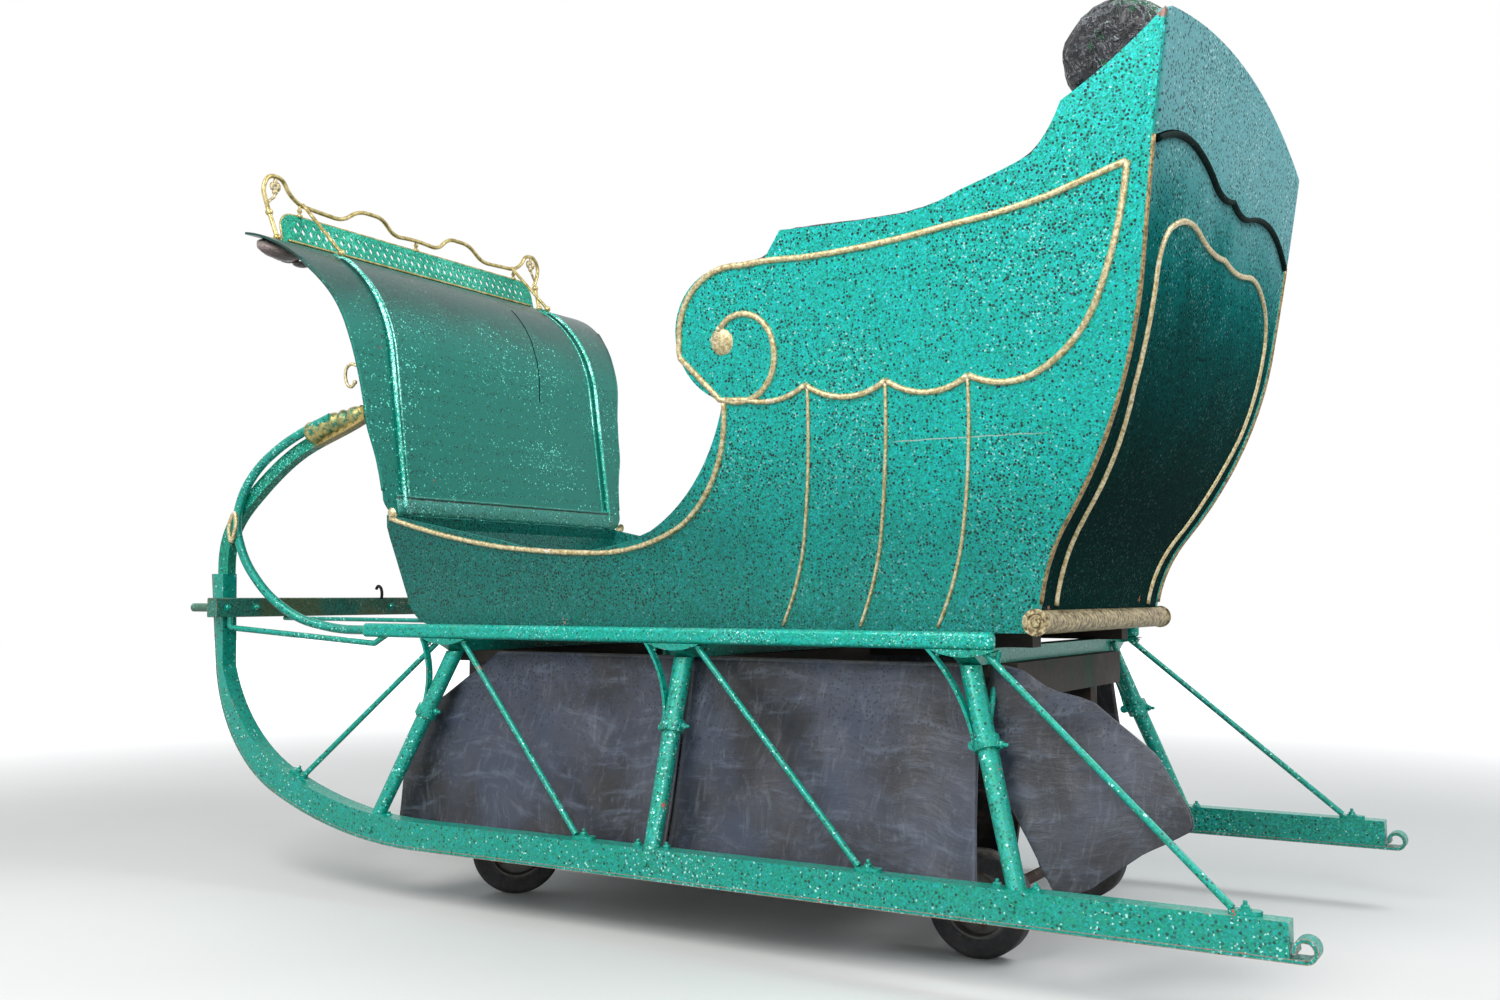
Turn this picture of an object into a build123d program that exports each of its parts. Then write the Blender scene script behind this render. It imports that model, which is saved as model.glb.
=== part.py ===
"""A two-seat cutter sleigh with a high scrolled back, parked on a low four-wheeled trolley.

Millimetres. X runs along the sleigh with the nose at -X, Y across it with the left side
at -Y, and Z up from the floor. The origin is on the floor, under the middle of the box.
"""

from build123d import *
from math import asin, atan2, cos, degrees, hypot, radians, sin, tan
import os

os.makedirs("parts", exist_ok=True)

# Driving sizes: how the sleigh stands on its trolley
runner_clear = 111.0
beam_under = 484.0
beam_deep = 25.0
rail_deep = 28.0
rail_wide = 28.0
rail_mid = 400.0
sill_deep = 25.0

# Driving sizes: runners
runner_outer = 500.0
runner_wide = 35.0
runner_deep = 47.0
shoe_thick = 6.0
runner_rear = 1089.0
runner_bend = -483.0
bend_radius = 1024.0
bend_angle = 22.5
nose_radius = 310.0
nose_angle = 61.5
nose_deep = 31.0
nose_top = 640.0
hook_radius = 17.0

# Driving sizes: front crossbar, let into the back of the noses
crossbar_cover = 13.17
crossbar_deep = 41.0
crossbar_thick = 30.0
crossbar_drop = 92.0
crossbar_past = 30.0
bolt_radius = 9.0
bolt_inset = 15.0
bolt_reach = 62.0

# Driving sizes: posts, three a side, set evenly about the middle one
post_mid_top = 45.0
post_mid_foot = 50.0
post_top_pitch = 549.0
post_foot_pitch = 655.0
post_top_inset = 25.0
post_foot_inset = 4.5
post_top_radius = 18.0
post_foot_radius = 15.0

# Driving sizes: body
panel = 14.0
floor_thick = 14.0
side_foot = 346.0
side_knee = 377.0
knee_rise = 179.0
side_waist = 448.0
waist_rise = 426.0
side_head = 511.0
head_rise = 898.0
crown_rise = 58.0
board_proud = 6.0
fit = 0.3

# Driving sizes: dash, with heights above the body's underside
dash_thick = 5.0
dash_low = (-671.0, 216.0)
dash_seat = 226.0
dash_straight = (-722.0, 571.0)
dash_tip = (-978.0, 830.0)
rib_out = 352.0
rib_wide = 11.0
rib_proud = 4.0

# Driving sizes: trolley
wheel_radius = 88.0
wheel_wide = 46.0
rim_radius = 56.0
wheel_out = 265.0
axle_inset = 32.0
axle_radius = 10.0
running_fit = 0.1
castor_inset = 112.0
castor_out = 243.0
castor_trail = 45.0
castor_turn = 220.0
crown_gap = 12.0
crown_high = 14.0
race_gap = 4.0
housing_deep = 6.0
plate_thick = 8.0
plate_wide = 110.0
frame_deep = 40.0
frame_wide = 40.0
frame_out = 195.0
frame_past_front = 41.0
frame_past_rear = 51.0

# Sizes that follow
beam_top = beam_under + beam_deep
body_under = beam_top + sill_deep
floor_top = body_under + floor_thick
knee_height = body_under + knee_rise
waist_height = body_under + waist_rise
head_height = body_under + head_rise
crown_top = head_height + crown_rise
rail_under = beam_top
rail_top = rail_under + rail_deep
shoe_top = runner_clear + shoe_thick
runner_top = shoe_top + runner_deep
crossbar_under = nose_top - crossbar_drop
crossbar_mid = crossbar_under + crossbar_deep / 2
crossbar_half = runner_outer + crossbar_past
bolt_out = crossbar_half - bolt_inset
post_top_out = rail_mid - post_top_inset
post_foot_out = runner_outer - runner_wide / 2 - post_foot_inset
crown_under = 2 * wheel_radius + crown_gap
frame_under = crown_under + crown_high + race_gap + housing_deep + plate_thick
frame_top = frame_under + frame_deep
cut_half = crossbar_half + 100
cut_long = runner_rear + 300

# Where the nose leaves its bend, and how it leans from there
nose_lean = bend_angle + nose_angle
nose_start_x = runner_bend - bend_radius * sin(radians(bend_angle))
nose_start_x -= nose_radius * (sin(radians(nose_lean)) - sin(radians(bend_angle)))
nose_start_z = shoe_top + bend_radius * (1 - cos(radians(bend_angle)))
nose_start_z += nose_radius * (cos(radians(bend_angle)) - cos(radians(nose_lean)))

SIDES = (("left", -1), ("right", 1))
POSTS = (("front", -1), ("middle", 0), ("rear", 1))


def nose_front_at(z):
    """Where the nose's front face stands at a height above its bend."""
    return nose_start_x - (z - nose_start_z) / tan(radians(nose_lean))


crossbar_front = nose_front_at(crossbar_mid) + crossbar_cover
crossbar_back = crossbar_front + crossbar_thick


def across(sign, inner, outer):
    """The XZ plane and depth of a slab that lies between two distances from the middle."""
    edge = -inner if sign < 0 else outer
    return Plane.XZ.offset(-edge), outer - inner


def bend_radii(points):
    """The largest tangent arc that the two runs at each corner of a bent rod leave room for."""
    radii = []
    for a, b, c in zip(points, points[1:], points[2:]):
        shorter = min((b - a).length, (c - b).length)
        radii.append(0.45 * shorter / tan(radians((b - a).get_angle(c - b)) / 2))
    return radii


def bowed(rows):
    """Edges through rows of place, rise above the body's underside and bow.

    A row's bow is the rise of the arc that leads to it, as a share of the chord, to the left
    of the way it runs. No bow makes a straight edge.
    """
    start = None
    for place, rise, bow in rows:
        end = Vector(place, body_under + rise)
        if start is None:
            first = end
        elif bow:
            chord = end - start
            ThreePointArc(start, (start + end) / 2 + Vector(-chord.Y, chord.X) * bow, end)
        else:
            Line(start, end)
        start = end
    return first, end


def post_top_x(step):
    return post_mid_top + step * post_top_pitch


def post_foot_x(step):
    return post_mid_foot + step * post_foot_pitch


# Where the trolley's frame, castors and axle stand under the posts
frame_front = post_top_x(-1) - frame_past_front
frame_rear = post_top_x(1) + frame_past_rear
castor_x = post_top_x(-1) + castor_inset
axle_x = post_top_x(1) - axle_inset

# Runner: a straight bar that bends up in two arcs to the nose, with a steel shoe under it
def under_edge(drop):
    """Edges of the runner's underside, or of a line a distance below it."""
    base = shoe_top - drop
    flat = Line((runner_rear, base), (runner_bend, base))
    sweep_up = JernArc(flat @ 1, flat % 1, bend_radius + drop, -bend_angle)
    nose = JernArc(sweep_up @ 1, sweep_up % 1, nose_radius + drop, -nose_angle)
    rise = (nose_top - (nose @ 1).Y) / (nose % 1).Y
    Line(nose @ 1, nose @ 1 + nose % 1 * rise)
    return flat @ 0, nose @ 1 + nose % 1 * rise


runners = {}
for side, sign in SIDES:
    plane, depth = across(sign, runner_outer - runner_wide, runner_outer)
    with BuildPart() as runner:
        with BuildSketch(plane):
            with BuildLine():
                heel, nose_tip = under_edge(0)
                upper = Line((runner_rear, runner_top), (runner_bend, runner_top))
                lift = JernArc(upper @ 1, upper % 1, bend_radius - runner_deep, -bend_angle)
                nose_back = Vector(nose_tip.X + nose_deep, nose_top)
                knuckle = Vector(nose_back.X + 5, nose_start_z - 4)
                TangentArc(lift @ 1, knuckle, tangent=lift % 1)
                Line(knuckle, nose_back)
                Line(nose_back, nose_tip)
                Line(heel, upper @ 0)
            make_face()
        extrude(amount=depth)
        with BuildSketch(plane):
            with Locations((crossbar_front, crossbar_under)):
                Rectangle(4 * crossbar_thick, crossbar_deep, align=Align.MIN)
        extrude(amount=depth, mode=Mode.SUBTRACT)
    runners[side] = runner.part
    runner.part.label = f"runner_{side}"
    export_step(runner.part, f"parts/runner_{side}.step")

    with BuildPart() as shoe:
        with BuildSketch(plane):
            with BuildLine() as shoe_line:
                middle = shoe_thick / 2
                heel, nose_tip = under_edge(middle)
                tail = Line(heel, (runner_rear + hook_radius + 3, shoe_top - middle))
                JernArc(tail @ 1, (1, 0), hook_radius - middle, 290)
            trace(line_width=shoe_thick)
        extrude(amount=depth)
    shoe.part.label = f"shoe_{side}"
    export_step(shoe.part, f"parts/shoe_{side}.step")

# The dash's rear face: a straight run and a curl, and lines at a depth in front of it
dash_foot = Vector(dash_low[0], body_under + dash_low[1])
dash_bend = Vector(dash_straight[0], body_under + dash_straight[1])
dash_end = Vector(dash_tip[0], body_under + dash_tip[1])
dash_along = (dash_bend - dash_foot).normalized()
dash_drop = Vector(-dash_along.Y, dash_along.X)
dash_curl = TangentArc(dash_bend, dash_end, tangent=dash_along)
tip_along = dash_curl % 1
tip_drop = Vector(-tip_along.Y, tip_along.X)


def dash_edge(depth):
    """Edges of the dash's profile at a depth in front of its rear face."""
    run = Line(dash_foot + dash_drop * depth, dash_bend + dash_drop * depth)
    curl = TangentArc(run @ 1, dash_end + tip_drop * depth, tangent=dash_along)
    return run @ 0, curl @ 1


def dash_wall(rear, front):
    """A wall that follows the dash between two depths, over the whole width."""
    with BuildPart() as wall:
        with BuildSketch(Plane.XZ):
            with BuildLine():
                low_rear, high_rear = dash_edge(rear)
                low_front, high_front = dash_edge(front)
                Line(low_rear, low_front)
                Line(high_rear, high_front)
            make_face()
        extrude(amount=cut_half, both=True)
    return wall.part


# Dash bars: square bars that carry each runner's nose back to the dash
bar_deep = 26.0
bar_wide = 24.0
bar_foot = Vector(nose_front_at(nose_top) + 5.7, runner_outer - runner_wide / 2)
bar_head = Vector(dash_bend.X + 10, 428.0)
bar_lean = degrees(atan2(bar_foot.Y - bar_head.Y, bar_head.X - bar_foot.X))
bar_run = (bar_head - bar_foot).length
bar_rise = body_under + 439.7 - nose_top
for side, sign in SIDES:
    start = Vector(bar_foot.X, sign * bar_foot.Y, nose_top)
    along = Vector(cos(radians(bar_lean)), -sign * sin(radians(bar_lean)), 0)
    bar_plane = Plane(origin=start, x_dir=along, z_dir=along.cross(Vector(0, 0, 1)))
    with BuildPart() as dash_bar:
        with BuildSketch(bar_plane):
            with BuildLine():
                stem = Line((bar_deep / 2, 0), (bar_deep / 2, 20))
                Spline(
                    stem @ 1,
                    (0.237 * bar_run, 0.498 * bar_rise),
                    (0.552 * bar_run, 0.768 * bar_rise),
                    (bar_run + 10, bar_rise),
                    tangents=(stem % 1, (0.87, 0.5)),
                )
            trace(line_width=bar_deep)
        extrude(amount=bar_wide / 2, both=True)
        with BuildSketch(Plane.XZ):
            lower = dash_foot + dash_drop * dash_thick
            upper = dash_bend + dash_drop * dash_thick
            Polygon(lower, upper, upper + (200, 0), lower + (200, 0), align=None)
        extrude(amount=cut_half, both=True, mode=Mode.SUBTRACT)
    dash_bar.part.label = f"dash_bar_{side}"
    export_step(dash_bar.part, f"parts/dash_bar_{side}.step")

# Side rails, with the round irons that rise from their front ends to the dash bars
rail_front = -723.0
rail_rear = 645.0
iron_radius = 9.5
IRON_ROUTE = (
    # shares of the way back from the bar's foot, out to the bar's side, and up to the bar's head
    (1.000, 0.000, 0.000),
    (0.756, 0.000, 0.000),
    (0.503, 0.360, 0.046),
    (0.317, 0.639, 0.162),
    (0.199, 0.873, 0.323),
    (0.154, 1.000, 0.499),
    (0.205, 1.000, 0.658),
    (0.329, 1.000, 0.786),
    (0.503, 1.000, 0.884),
    (0.677, 1.000, 0.950),
    (0.840, 1.000, 1.000),
)
iron_beside = (bar_wide / 2 + iron_radius + 0.1) / cos(radians(bar_lean))
for side, sign in SIDES:
    plane, depth = across(sign, rail_mid - rail_wide / 2, rail_mid + rail_wide / 2)
    with BuildPart() as side_rail:
        with BuildSketch(plane):
            with Locations(((rail_front + rail_rear) / 2, (rail_under + rail_top) / 2)):
                Rectangle(rail_rear - rail_front, rail_deep)
        extrude(amount=depth)
        ends = side_rail.edges().filter_by(Axis.Z).group_by(Axis.X)[-1]
        fillet(ends, rail_wide / 2 - 1)
        outer = side_rail.edges().filter_by(Axis.X).group_by(Axis.Y)[0 if sign < 0 else -1]
        fillet(outer, 8)
    side_rail.part.label = f"side_rail_{side}"
    export_step(side_rail.part, f"parts/side_rail_{side}.step")

    points = []
    for back_share, out_share, rise_share in IRON_ROUTE:
        x = bar_foot.X + back_share * (rail_front - bar_foot.X)
        beside_bar = bar_foot.Y - (x - bar_foot.X) * tan(radians(bar_lean)) + iron_beside
        out = rail_mid + out_share * (beside_bar - rail_mid)
        iron_low = (rail_under + rail_top) / 2
        z = iron_low + rise_share * (body_under + 428 - iron_low)
        points.append(Vector(x, sign * out, z))
    with BuildPart() as rail_iron:
        with BuildLine():
            FilletPolyline(*points, radius=bend_radii(points))
        with BuildSketch(Plane(origin=points[0], z_dir=points[1] - points[0])):
            Circle(iron_radius)
        sweep()
    rail_iron.part.label = f"rail_iron_{side}"
    export_step(rail_iron.part, f"parts/rail_iron_{side}.step")

# Front crossbar, lapped into the runner noses, with a shaft bolt through each end
with BuildPart() as crossbar:
    with BuildSketch(Plane.YZ.offset(crossbar_back)):
        with Locations((0, crossbar_mid)):
            Rectangle(2 * crossbar_half, crossbar_deep)
    extrude(amount=-crossbar_thick)
    chamfer(crossbar.edges().filter_by(Axis.Y), 2)
    with BuildSketch(Plane.YZ.offset(crossbar_front)):
        with Locations((-bolt_out, crossbar_mid), (bolt_out, crossbar_mid)):
            Circle(bolt_radius)
    extrude(amount=-bolt_reach)
crossbar.part.label = "front_crossbar"
export_step(crossbar.part, "parts/front_crossbar.step")

# Cross-beams on the posts, with chamfered ends, and two sills between them and the body
beam_wide = 38.0
beam_half = rail_mid + 5
beams = {}
for name, step in POSTS:
    with BuildPart() as beam:
        with BuildSketch(Plane.XY.offset(beam_under)):
            with Locations((post_top_x(step), 0)):
                Rectangle(beam_wide, 2 * beam_half)
        extrude(amount=beam_deep)
        ends = beam.edges().filter_by(Axis.X).group_by(Axis.Z)[0]
        chamfer(ends, beam_deep * 0.6, 30)
    beams[name] = beam.part
    beam.part.label = f"beam_{name}"
    export_step(beam.part, f"parts/beam_{name}.step")

sill_wide = 40.0
sill_out = 250.0
sill_front = -590.0
sill_rear = 660.0
with BuildPart() as sills:
    with BuildSketch(Plane.XY.offset(beam_top)):
        with Locations(((sill_front + sill_rear) / 2, -sill_out), ((sill_front + sill_rear) / 2, sill_out)):
            Rectangle(sill_rear - sill_front, sill_wide)
    extrude(amount=sill_deep)
sills.part.label = "floor_sills"
export_step(sills.part, "parts/floor_sills.step")

# Posts, tapered and splayed from the beam ends to the runner tops
post_sets = {}
for side, sign in SIDES:
    with BuildPart() as posts:
        for name, step in POSTS:
            foot = Vector(post_foot_x(step), sign * post_foot_out, runner_top)
            head = Vector(post_top_x(step), sign * post_top_out, beam_under)
            with BuildSketch(Plane.XY.offset(runner_top)):
                with Locations((foot.X, foot.Y)):
                    Circle(post_foot_radius)
            with BuildSketch(Plane.XY.offset(beam_under)):
                with Locations((head.X, head.Y)):
                    Circle(post_top_radius)
            loft()
        add(runners[side], mode=Mode.SUBTRACT)
    post_sets[side] = posts.part
    posts.part.label = f"posts_{side}"
    export_step(posts.part, f"parts/posts_{side}.step")

# Diagonal stay rods with flattened feet, from the rail to the top of the runner
rod_radius = 5.5
foot_long = 46.0
foot_thick = 6.0
lift_radius = bend_radius - runner_deep
STAYS = (
    # x and distance inside the rail's middle at the rail, x of the foot
    (-532.0, 15.0, -833.0),
    (-470.0, 4.0, -98.0),
    (82.0, 4.0, 462.0),
    (622.0, 4.0, 1030.0),
)


def runner_top_at(x):
    """Height of the runner's top at x, and its slope there in degrees."""
    if x >= runner_bend:
        return runner_top, 0.0
    slope = asin((runner_bend - x) / lift_radius)
    return runner_top + lift_radius * (1 - cos(slope)), degrees(slope)


stay_sets = {}
for side, sign in SIDES:
    with BuildPart() as stays:
        for top_x, inside, foot_x in STAYS:
            z, slope = runner_top_at(foot_x)
            z += foot_long**2 / 8 / lift_radius + 0.1 if slope else 0
            away = 1 if foot_x > top_x else -1
            seat = Plane(
                origin=(foot_x, sign * post_foot_out, z),
                x_dir=(cos(radians(slope)), 0, -sin(radians(slope))),
                z_dir=(sin(radians(slope)), 0, cos(radians(slope))),
            )
            with BuildSketch(seat):
                SlotOverall(foot_long, 22)
            extrude(amount=foot_thick)
            bend = seat.from_local_coords(Vector(-away * (foot_long / 2 - 6), 0, foot_thick + 0.5))
            head = Vector(top_x, sign * (rail_mid - inside), rail_under)
            with BuildSketch(Plane(origin=bend, z_dir=head - bend)):
                Circle(rod_radius)
            extrude(amount=(head - bend).length + 2 * rod_radius)
        with BuildSketch(Plane.XY.offset(rail_under)):
            Rectangle(2 * cut_long, 2 * cut_half)
        extrude(amount=10 * rod_radius, mode=Mode.SUBTRACT)
    stay_sets[side] = stays.part
    stays.part.label = f"stay_rods_{side}"
    export_step(stays.part, f"parts/stay_rods_{side}.step")

# Body side: a bent panel, hollow-curved at the foot and swelled above, cut to the scrolled outline
def side_section(inset):
    """Edges of the side's section in Y and Z, from the foot to above the head, moved in by inset."""
    foot = Vector(side_foot - inset, body_under)
    knee = Vector(side_knee - inset, knee_height)
    waist = Vector(side_waist - inset, waist_height)
    top = Vector(side_head - inset, crown_top + 12)
    ThreePointArc(foot, (foot + knee) / 2 - Vector(0.053 * knee_rise, 0), knee)
    ThreePointArc(knee, waist, top)
    return foot, top


def swelled_wall(sign, outer, inner):
    """A wall that follows the side's section between two insets, over the whole length."""
    with BuildPart() as wall:
        with BuildSketch(Plane.YZ.offset(-cut_long)):
            with BuildLine():
                low_out, high_out = side_section(outer)
                low_in, high_in = side_section(inner)
                Line(low_out, low_in)
                Line(high_out, high_in)
            make_face()
        extrude(amount=2 * cut_long)
    return wall.part if sign > 0 else wall.part.mirror(Plane.XZ)


# The rear outline, from the foot up to the head, and on to above the crown
BACK_EDGE = (
    # x, rise above the body's underside, bow, stretch of an inset by the slope there
    (696.0, 0.0, 0.0, 1.0),
    (755.0, 0.199 * head_rise, 0.082, 1.15),
    (904.0, 0.604 * head_rise, -0.060, 1.0),
    (956.0, head_rise, 0.0, 1.0),
)
FRONT_EDGE = (
    # x, rise above the body's underside, bow, share of an inset along x, share of it along z
    (-683.0, 226.0, 0.0, 1.0, 0.0),
    (-690.0, 202.0, 0.0, 1.0, 0.0),
    (-658.0, 37.0, -0.046, 0.9, 0.4),
    (-602.0, 0.0, -0.126, 0.0, 1.0),
)
TOP_EDGE = (
    # x, rise above the body's underside, bow
    (798.0, 791.0, 0.032),
    (749.0, 720.0, 0.053),
    (634.0, 685.0, 0.0125),
    (531.0, 662.0, 0.043),
    (311.0, 666.0, 0.009),
    (279.0, 624.0, 0.0),
    (216.0, 619.0, 0.0),
    (168.0, 396.0, -0.464),
    (-29.0, 178.0, 0.099),
    (-393.0, 168.0, 0.078),
)
back_foot_x = BACK_EDGE[0][0]
toe_x = FRONT_EDGE[-1][0]
head_x = BACK_EDGE[-1][0]
head_lean = (head_x - BACK_EDGE[-2][0]) / (head_rise - BACK_EDGE[-2][1])


def back_edge(inset, past):
    """Edges of the rear outline at an inset, from the foot to a distance past the head."""
    rows = [(x - inset * stretch, rise, bow) for x, rise, bow, stretch in BACK_EDGE[:-1]]
    rows.append((head_x - inset + past * head_lean, head_rise + past, 0.0))
    return bowed(rows)


def front_edge(inset):
    """Edges of the front outline at an inset, from the top down to the toe."""
    return bowed([(x + inset * in_x, rise + inset * in_z, bow) for x, rise, bow, in_x, in_z in FRONT_EDGE])


with BuildSketch(Plane.XZ) as side_outline:
    with BuildLine():
        foot, head = back_edge(0, 0)
        bowed([(head_x, head_rise, 0.0), *TOP_EDGE, FRONT_EDGE[0][:3]])
        chin, toe = front_edge(0)
        Line(toe, foot)
    make_face()

roller_radius = 19.0
roller_half = side_foot + 15
roller_x = back_foot_x + 3
roller_z = body_under + 18
with BuildPart() as roller_room:
    with BuildSketch(Plane.XZ):
        with Locations((roller_x, roller_z)):
            Circle(roller_radius + fit)
    extrude(amount=cut_half, both=True)

for side, sign in SIDES:
    with BuildPart() as body_side:
        add(swelled_wall(sign, 0, panel))
        extrude(side_outline.sketch, amount=cut_half, both=True, mode=Mode.INTERSECT)
        add(roller_room.part, mode=Mode.SUBTRACT)
    body_side.part.label = f"body_side_{side}"
    export_step(body_side.part, f"parts/body_side_{side}.step")

# Mouldings on the sides: a line that scrolls round a boss, a cusped line with ribs, and a lower line
moulding_proud = 4.0
boss_radius = 24.0
MOULDINGS = (
    # width, then rows of x, rise above the body's underside and bow
    (11.0, ((893, 688, 0), (776, 656, 0), (613, 634, 0.018), (345, 616, 0.017), (229, 617, -0.02))),
    (11.0, ((229, 617, 0), (94, 506, -0.22), (174, 397, -0.24), (281, 481, -0.28), (178, 516, -0.35))),
    (11.0, ((893, 688, 0), (841, 510, 0.037), (740, 402, 0.09), (623, 404, 0.12), (481, 407, 0.158))),
    (11.0, ((481, 407, 0), (333, 411, 0.155), (214, 395, 0.11))),
    (11.0, ((-676, 219, 0), (-398, 156, -0.021), (-156, 140, -0.014), (38, 184, -0.055), (170, 393, -0.126))),
    (6.0, ((337, 406, 0), (234, 6, 0.042))),
    (6.0, ((480, 404, 0), (384, 6, 0.038))),
    (6.0, ((622, 400, 0), (526, 6, 0.046))),
)
for side, sign in SIDES:
    with BuildPart() as mouldings:
        with BuildSketch(Plane.XZ):
            for wide, rows in MOULDINGS:
                with BuildLine() as run:
                    bowed(rows)
                for edge in run.edges():
                    trace(edge, line_width=wide)
                with Locations(*[(x, body_under + rise) for x, rise, bow in rows]):
                    Circle(wide / 2)
            with Locations((180, body_under + 495)):
                Circle(boss_radius)
            with Locations(dash_foot + (4, 12)):
                Circle(boss_radius / 2)
        extrude(amount=cut_half, both=True)
        add(swelled_wall(sign, -moulding_proud, 0), mode=Mode.INTERSECT)
    mouldings.part.label = f"mouldings_{side}"
    export_step(mouldings.part, f"parts/mouldings_{side}.step")

# What lies between the two side walls: everything inside the body is cut to this
def between_walls(gap, low, high):
    """The hollow of the body, a gap in from the side walls, between two heights."""
    with BuildPart() as hollow:
        with BuildSketch(Plane.YZ.offset(-cut_long)):
            with BuildLine():
                low_in, high_in = side_section(panel + gap)
                Line(high_in, (0, high_in.Y))
                Line((0, high_in.Y), (0, low_in.Y))
                Line((0, low_in.Y), low_in)
            make_face()
            mirror(about=Plane.YZ)
        extrude(amount=2 * cut_long)
        with BuildSketch(Plane.XY.offset(low)):
            Rectangle(2 * cut_long, 2 * cut_half)
        extrude(amount=high - low, mode=Mode.INTERSECT)
    return hollow.part


def back_wall(outer, inner):
    """A wall that follows the rear outline between two insets, up to above the crown."""
    with BuildPart() as wall:
        with BuildSketch(Plane.XZ):
            with BuildLine():
                low_out, high_out = back_edge(outer, crown_rise + 5)
                low_in, high_in = back_edge(inner, crown_rise + 5)
                Line(low_out, low_in)
                Line(high_out, high_in)
            make_face()
        extrude(amount=cut_half, both=True)
    return wall.part


# Back panel: between the sides, with a crown above them and a proud board over a cupid's bow
CUPIDS_BOW = (
    # out, rise above the body's underside, bow
    (520.0, 706.0, 0.0),
    (290.0, 766.0, -0.06),
    (150.0, 748.0, -0.03),
    (0.0, 744.0, 0.073),
)
with BuildPart() as back:
    with BuildSketch(Plane.YZ) as bow_outline:
        with BuildLine():
            bow_out, bow_mid = bowed(CUPIDS_BOW)
            Line(bow_mid, (0, crown_top + 20))
            Line((0, crown_top + 20), (bow_out.X, crown_top + 20))
            Line((bow_out.X, crown_top + 20), bow_out)
        make_face()
        mirror(about=Plane.YZ)
    extrude(amount=cut_long)
    add(back_wall(-board_proud, 0), mode=Mode.INTERSECT)
    add(back_wall(0, panel))
    add(between_walls(0, roller_z + 8, crown_top + 5), mode=Mode.INTERSECT)
    with BuildSketch(Plane.YZ):
        with BuildLine():
            crown = ThreePointArc((-side_head, head_height), (0, crown_top), (side_head, head_height))
            Line(crown @ 1, (side_head, body_under))
            Line((side_head, body_under), (-side_head, body_under))
            Line((-side_head, body_under), crown @ 0)
        make_face()
    extrude(amount=cut_long, mode=Mode.INTERSECT)
    add(roller_room.part, mode=Mode.SUBTRACT)
back.part.label = "back_panel"
export_step(back.part, "parts/back_panel.step")

# Moulded frame on the rear of the back panel
FRAME_EDGE = (
    # out, rise above the body's underside, bow
    (270.0, 44.0, 0.0),
    (306.0, 191.0, 0.05),
    (370.0, 371.0, 0.03),
    (390.0, 526.0, -0.025),
    (330.0, 626.0, -0.19),
    (184.0, 646.0, -0.08),
    (0.0, 640.0, 0.043),
)
back_line_wide = 9.0
with BuildPart() as back_frame:
    with BuildSketch(Plane.YZ):
        with BuildLine() as frame_run:
            bowed(FRAME_EDGE)
        for edge in frame_run.edges():
            trace(edge, line_width=back_line_wide)
        with Locations(*[(out, body_under + rise) for out, rise, bow in FRAME_EDGE]):
            Circle(back_line_wide / 2)
        mirror(about=Plane.YZ)
    extrude(amount=cut_long)
    add(back_wall(-moulding_proud, 0), mode=Mode.INTERSECT)
back_frame.part.label = "back_moulding"
export_step(back_frame.part, "parts/back_moulding.step")

# Floor and front board, between the sides
with BuildPart() as floor:
    with BuildSketch(Plane.XZ):
        with Locations(((toe_x + back_foot_x - panel) / 2, body_under + floor_thick / 2)):
            Rectangle(back_foot_x - panel - toe_x, floor_thick)
    extrude(amount=cut_half, both=True)
    add(between_walls(0, body_under, floor_top), mode=Mode.INTERSECT)
    add(roller_room.part, mode=Mode.SUBTRACT)
floor.part.label = "floor_board"
export_step(floor.part, "parts/floor_board.step")

with BuildPart() as front:
    with BuildSketch(Plane.XZ):
        with BuildLine():
            top_out, toe_out = front_edge(0)
            top_in, toe_in = front_edge(panel)
            Line(top_out, top_in)
            Line(toe_out, toe_in)
        make_face()
    extrude(amount=cut_half, both=True)
    add(between_walls(0, body_under, knee_height + panel * 4), mode=Mode.INTERSECT)
front.part.label = "front_board"
export_step(front.part, "parts/front_board.step")

# Seat: a riser and a bench board between the sides, with a cushion on the board
seat_rise = 352.0
seat_front = 165.0
riser_back = 25.0
board_thick = 14.0
cushion_high = 88.0
roll_radius = 34.0
seat_top = floor_top + seat_rise


def inside_back(gap):
    """A block that holds everything ahead of the back panel, by a gap."""
    with BuildPart() as ahead:
        with BuildSketch(Plane.XZ):
            with BuildLine():
                low, high = back_edge(panel + gap, crown_rise)
                Line(high, (-cut_long, high.Y))
                Line((-cut_long, high.Y), (-cut_long, low.Y))
                Line((-cut_long, low.Y), low)
            make_face()
        extrude(amount=cut_half, both=True)
    return ahead.part


with BuildPart() as seat_box:
    with BuildSketch(Plane.XZ):
        with Locations((seat_front, seat_top - board_thick)):
            Rectangle(head_x - seat_front, board_thick, align=Align.MIN)
        with Locations((seat_front + riser_back, floor_top)):
            Rectangle(board_thick, seat_rise - board_thick, align=Align.MIN)
    extrude(amount=cut_half, both=True)
    add(between_walls(0, floor_top, seat_top), mode=Mode.INTERSECT)
    add(inside_back(0), mode=Mode.INTERSECT)
seat_box.part.label = "seat_box"
export_step(seat_box.part, "parts/seat_box.step")

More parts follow.
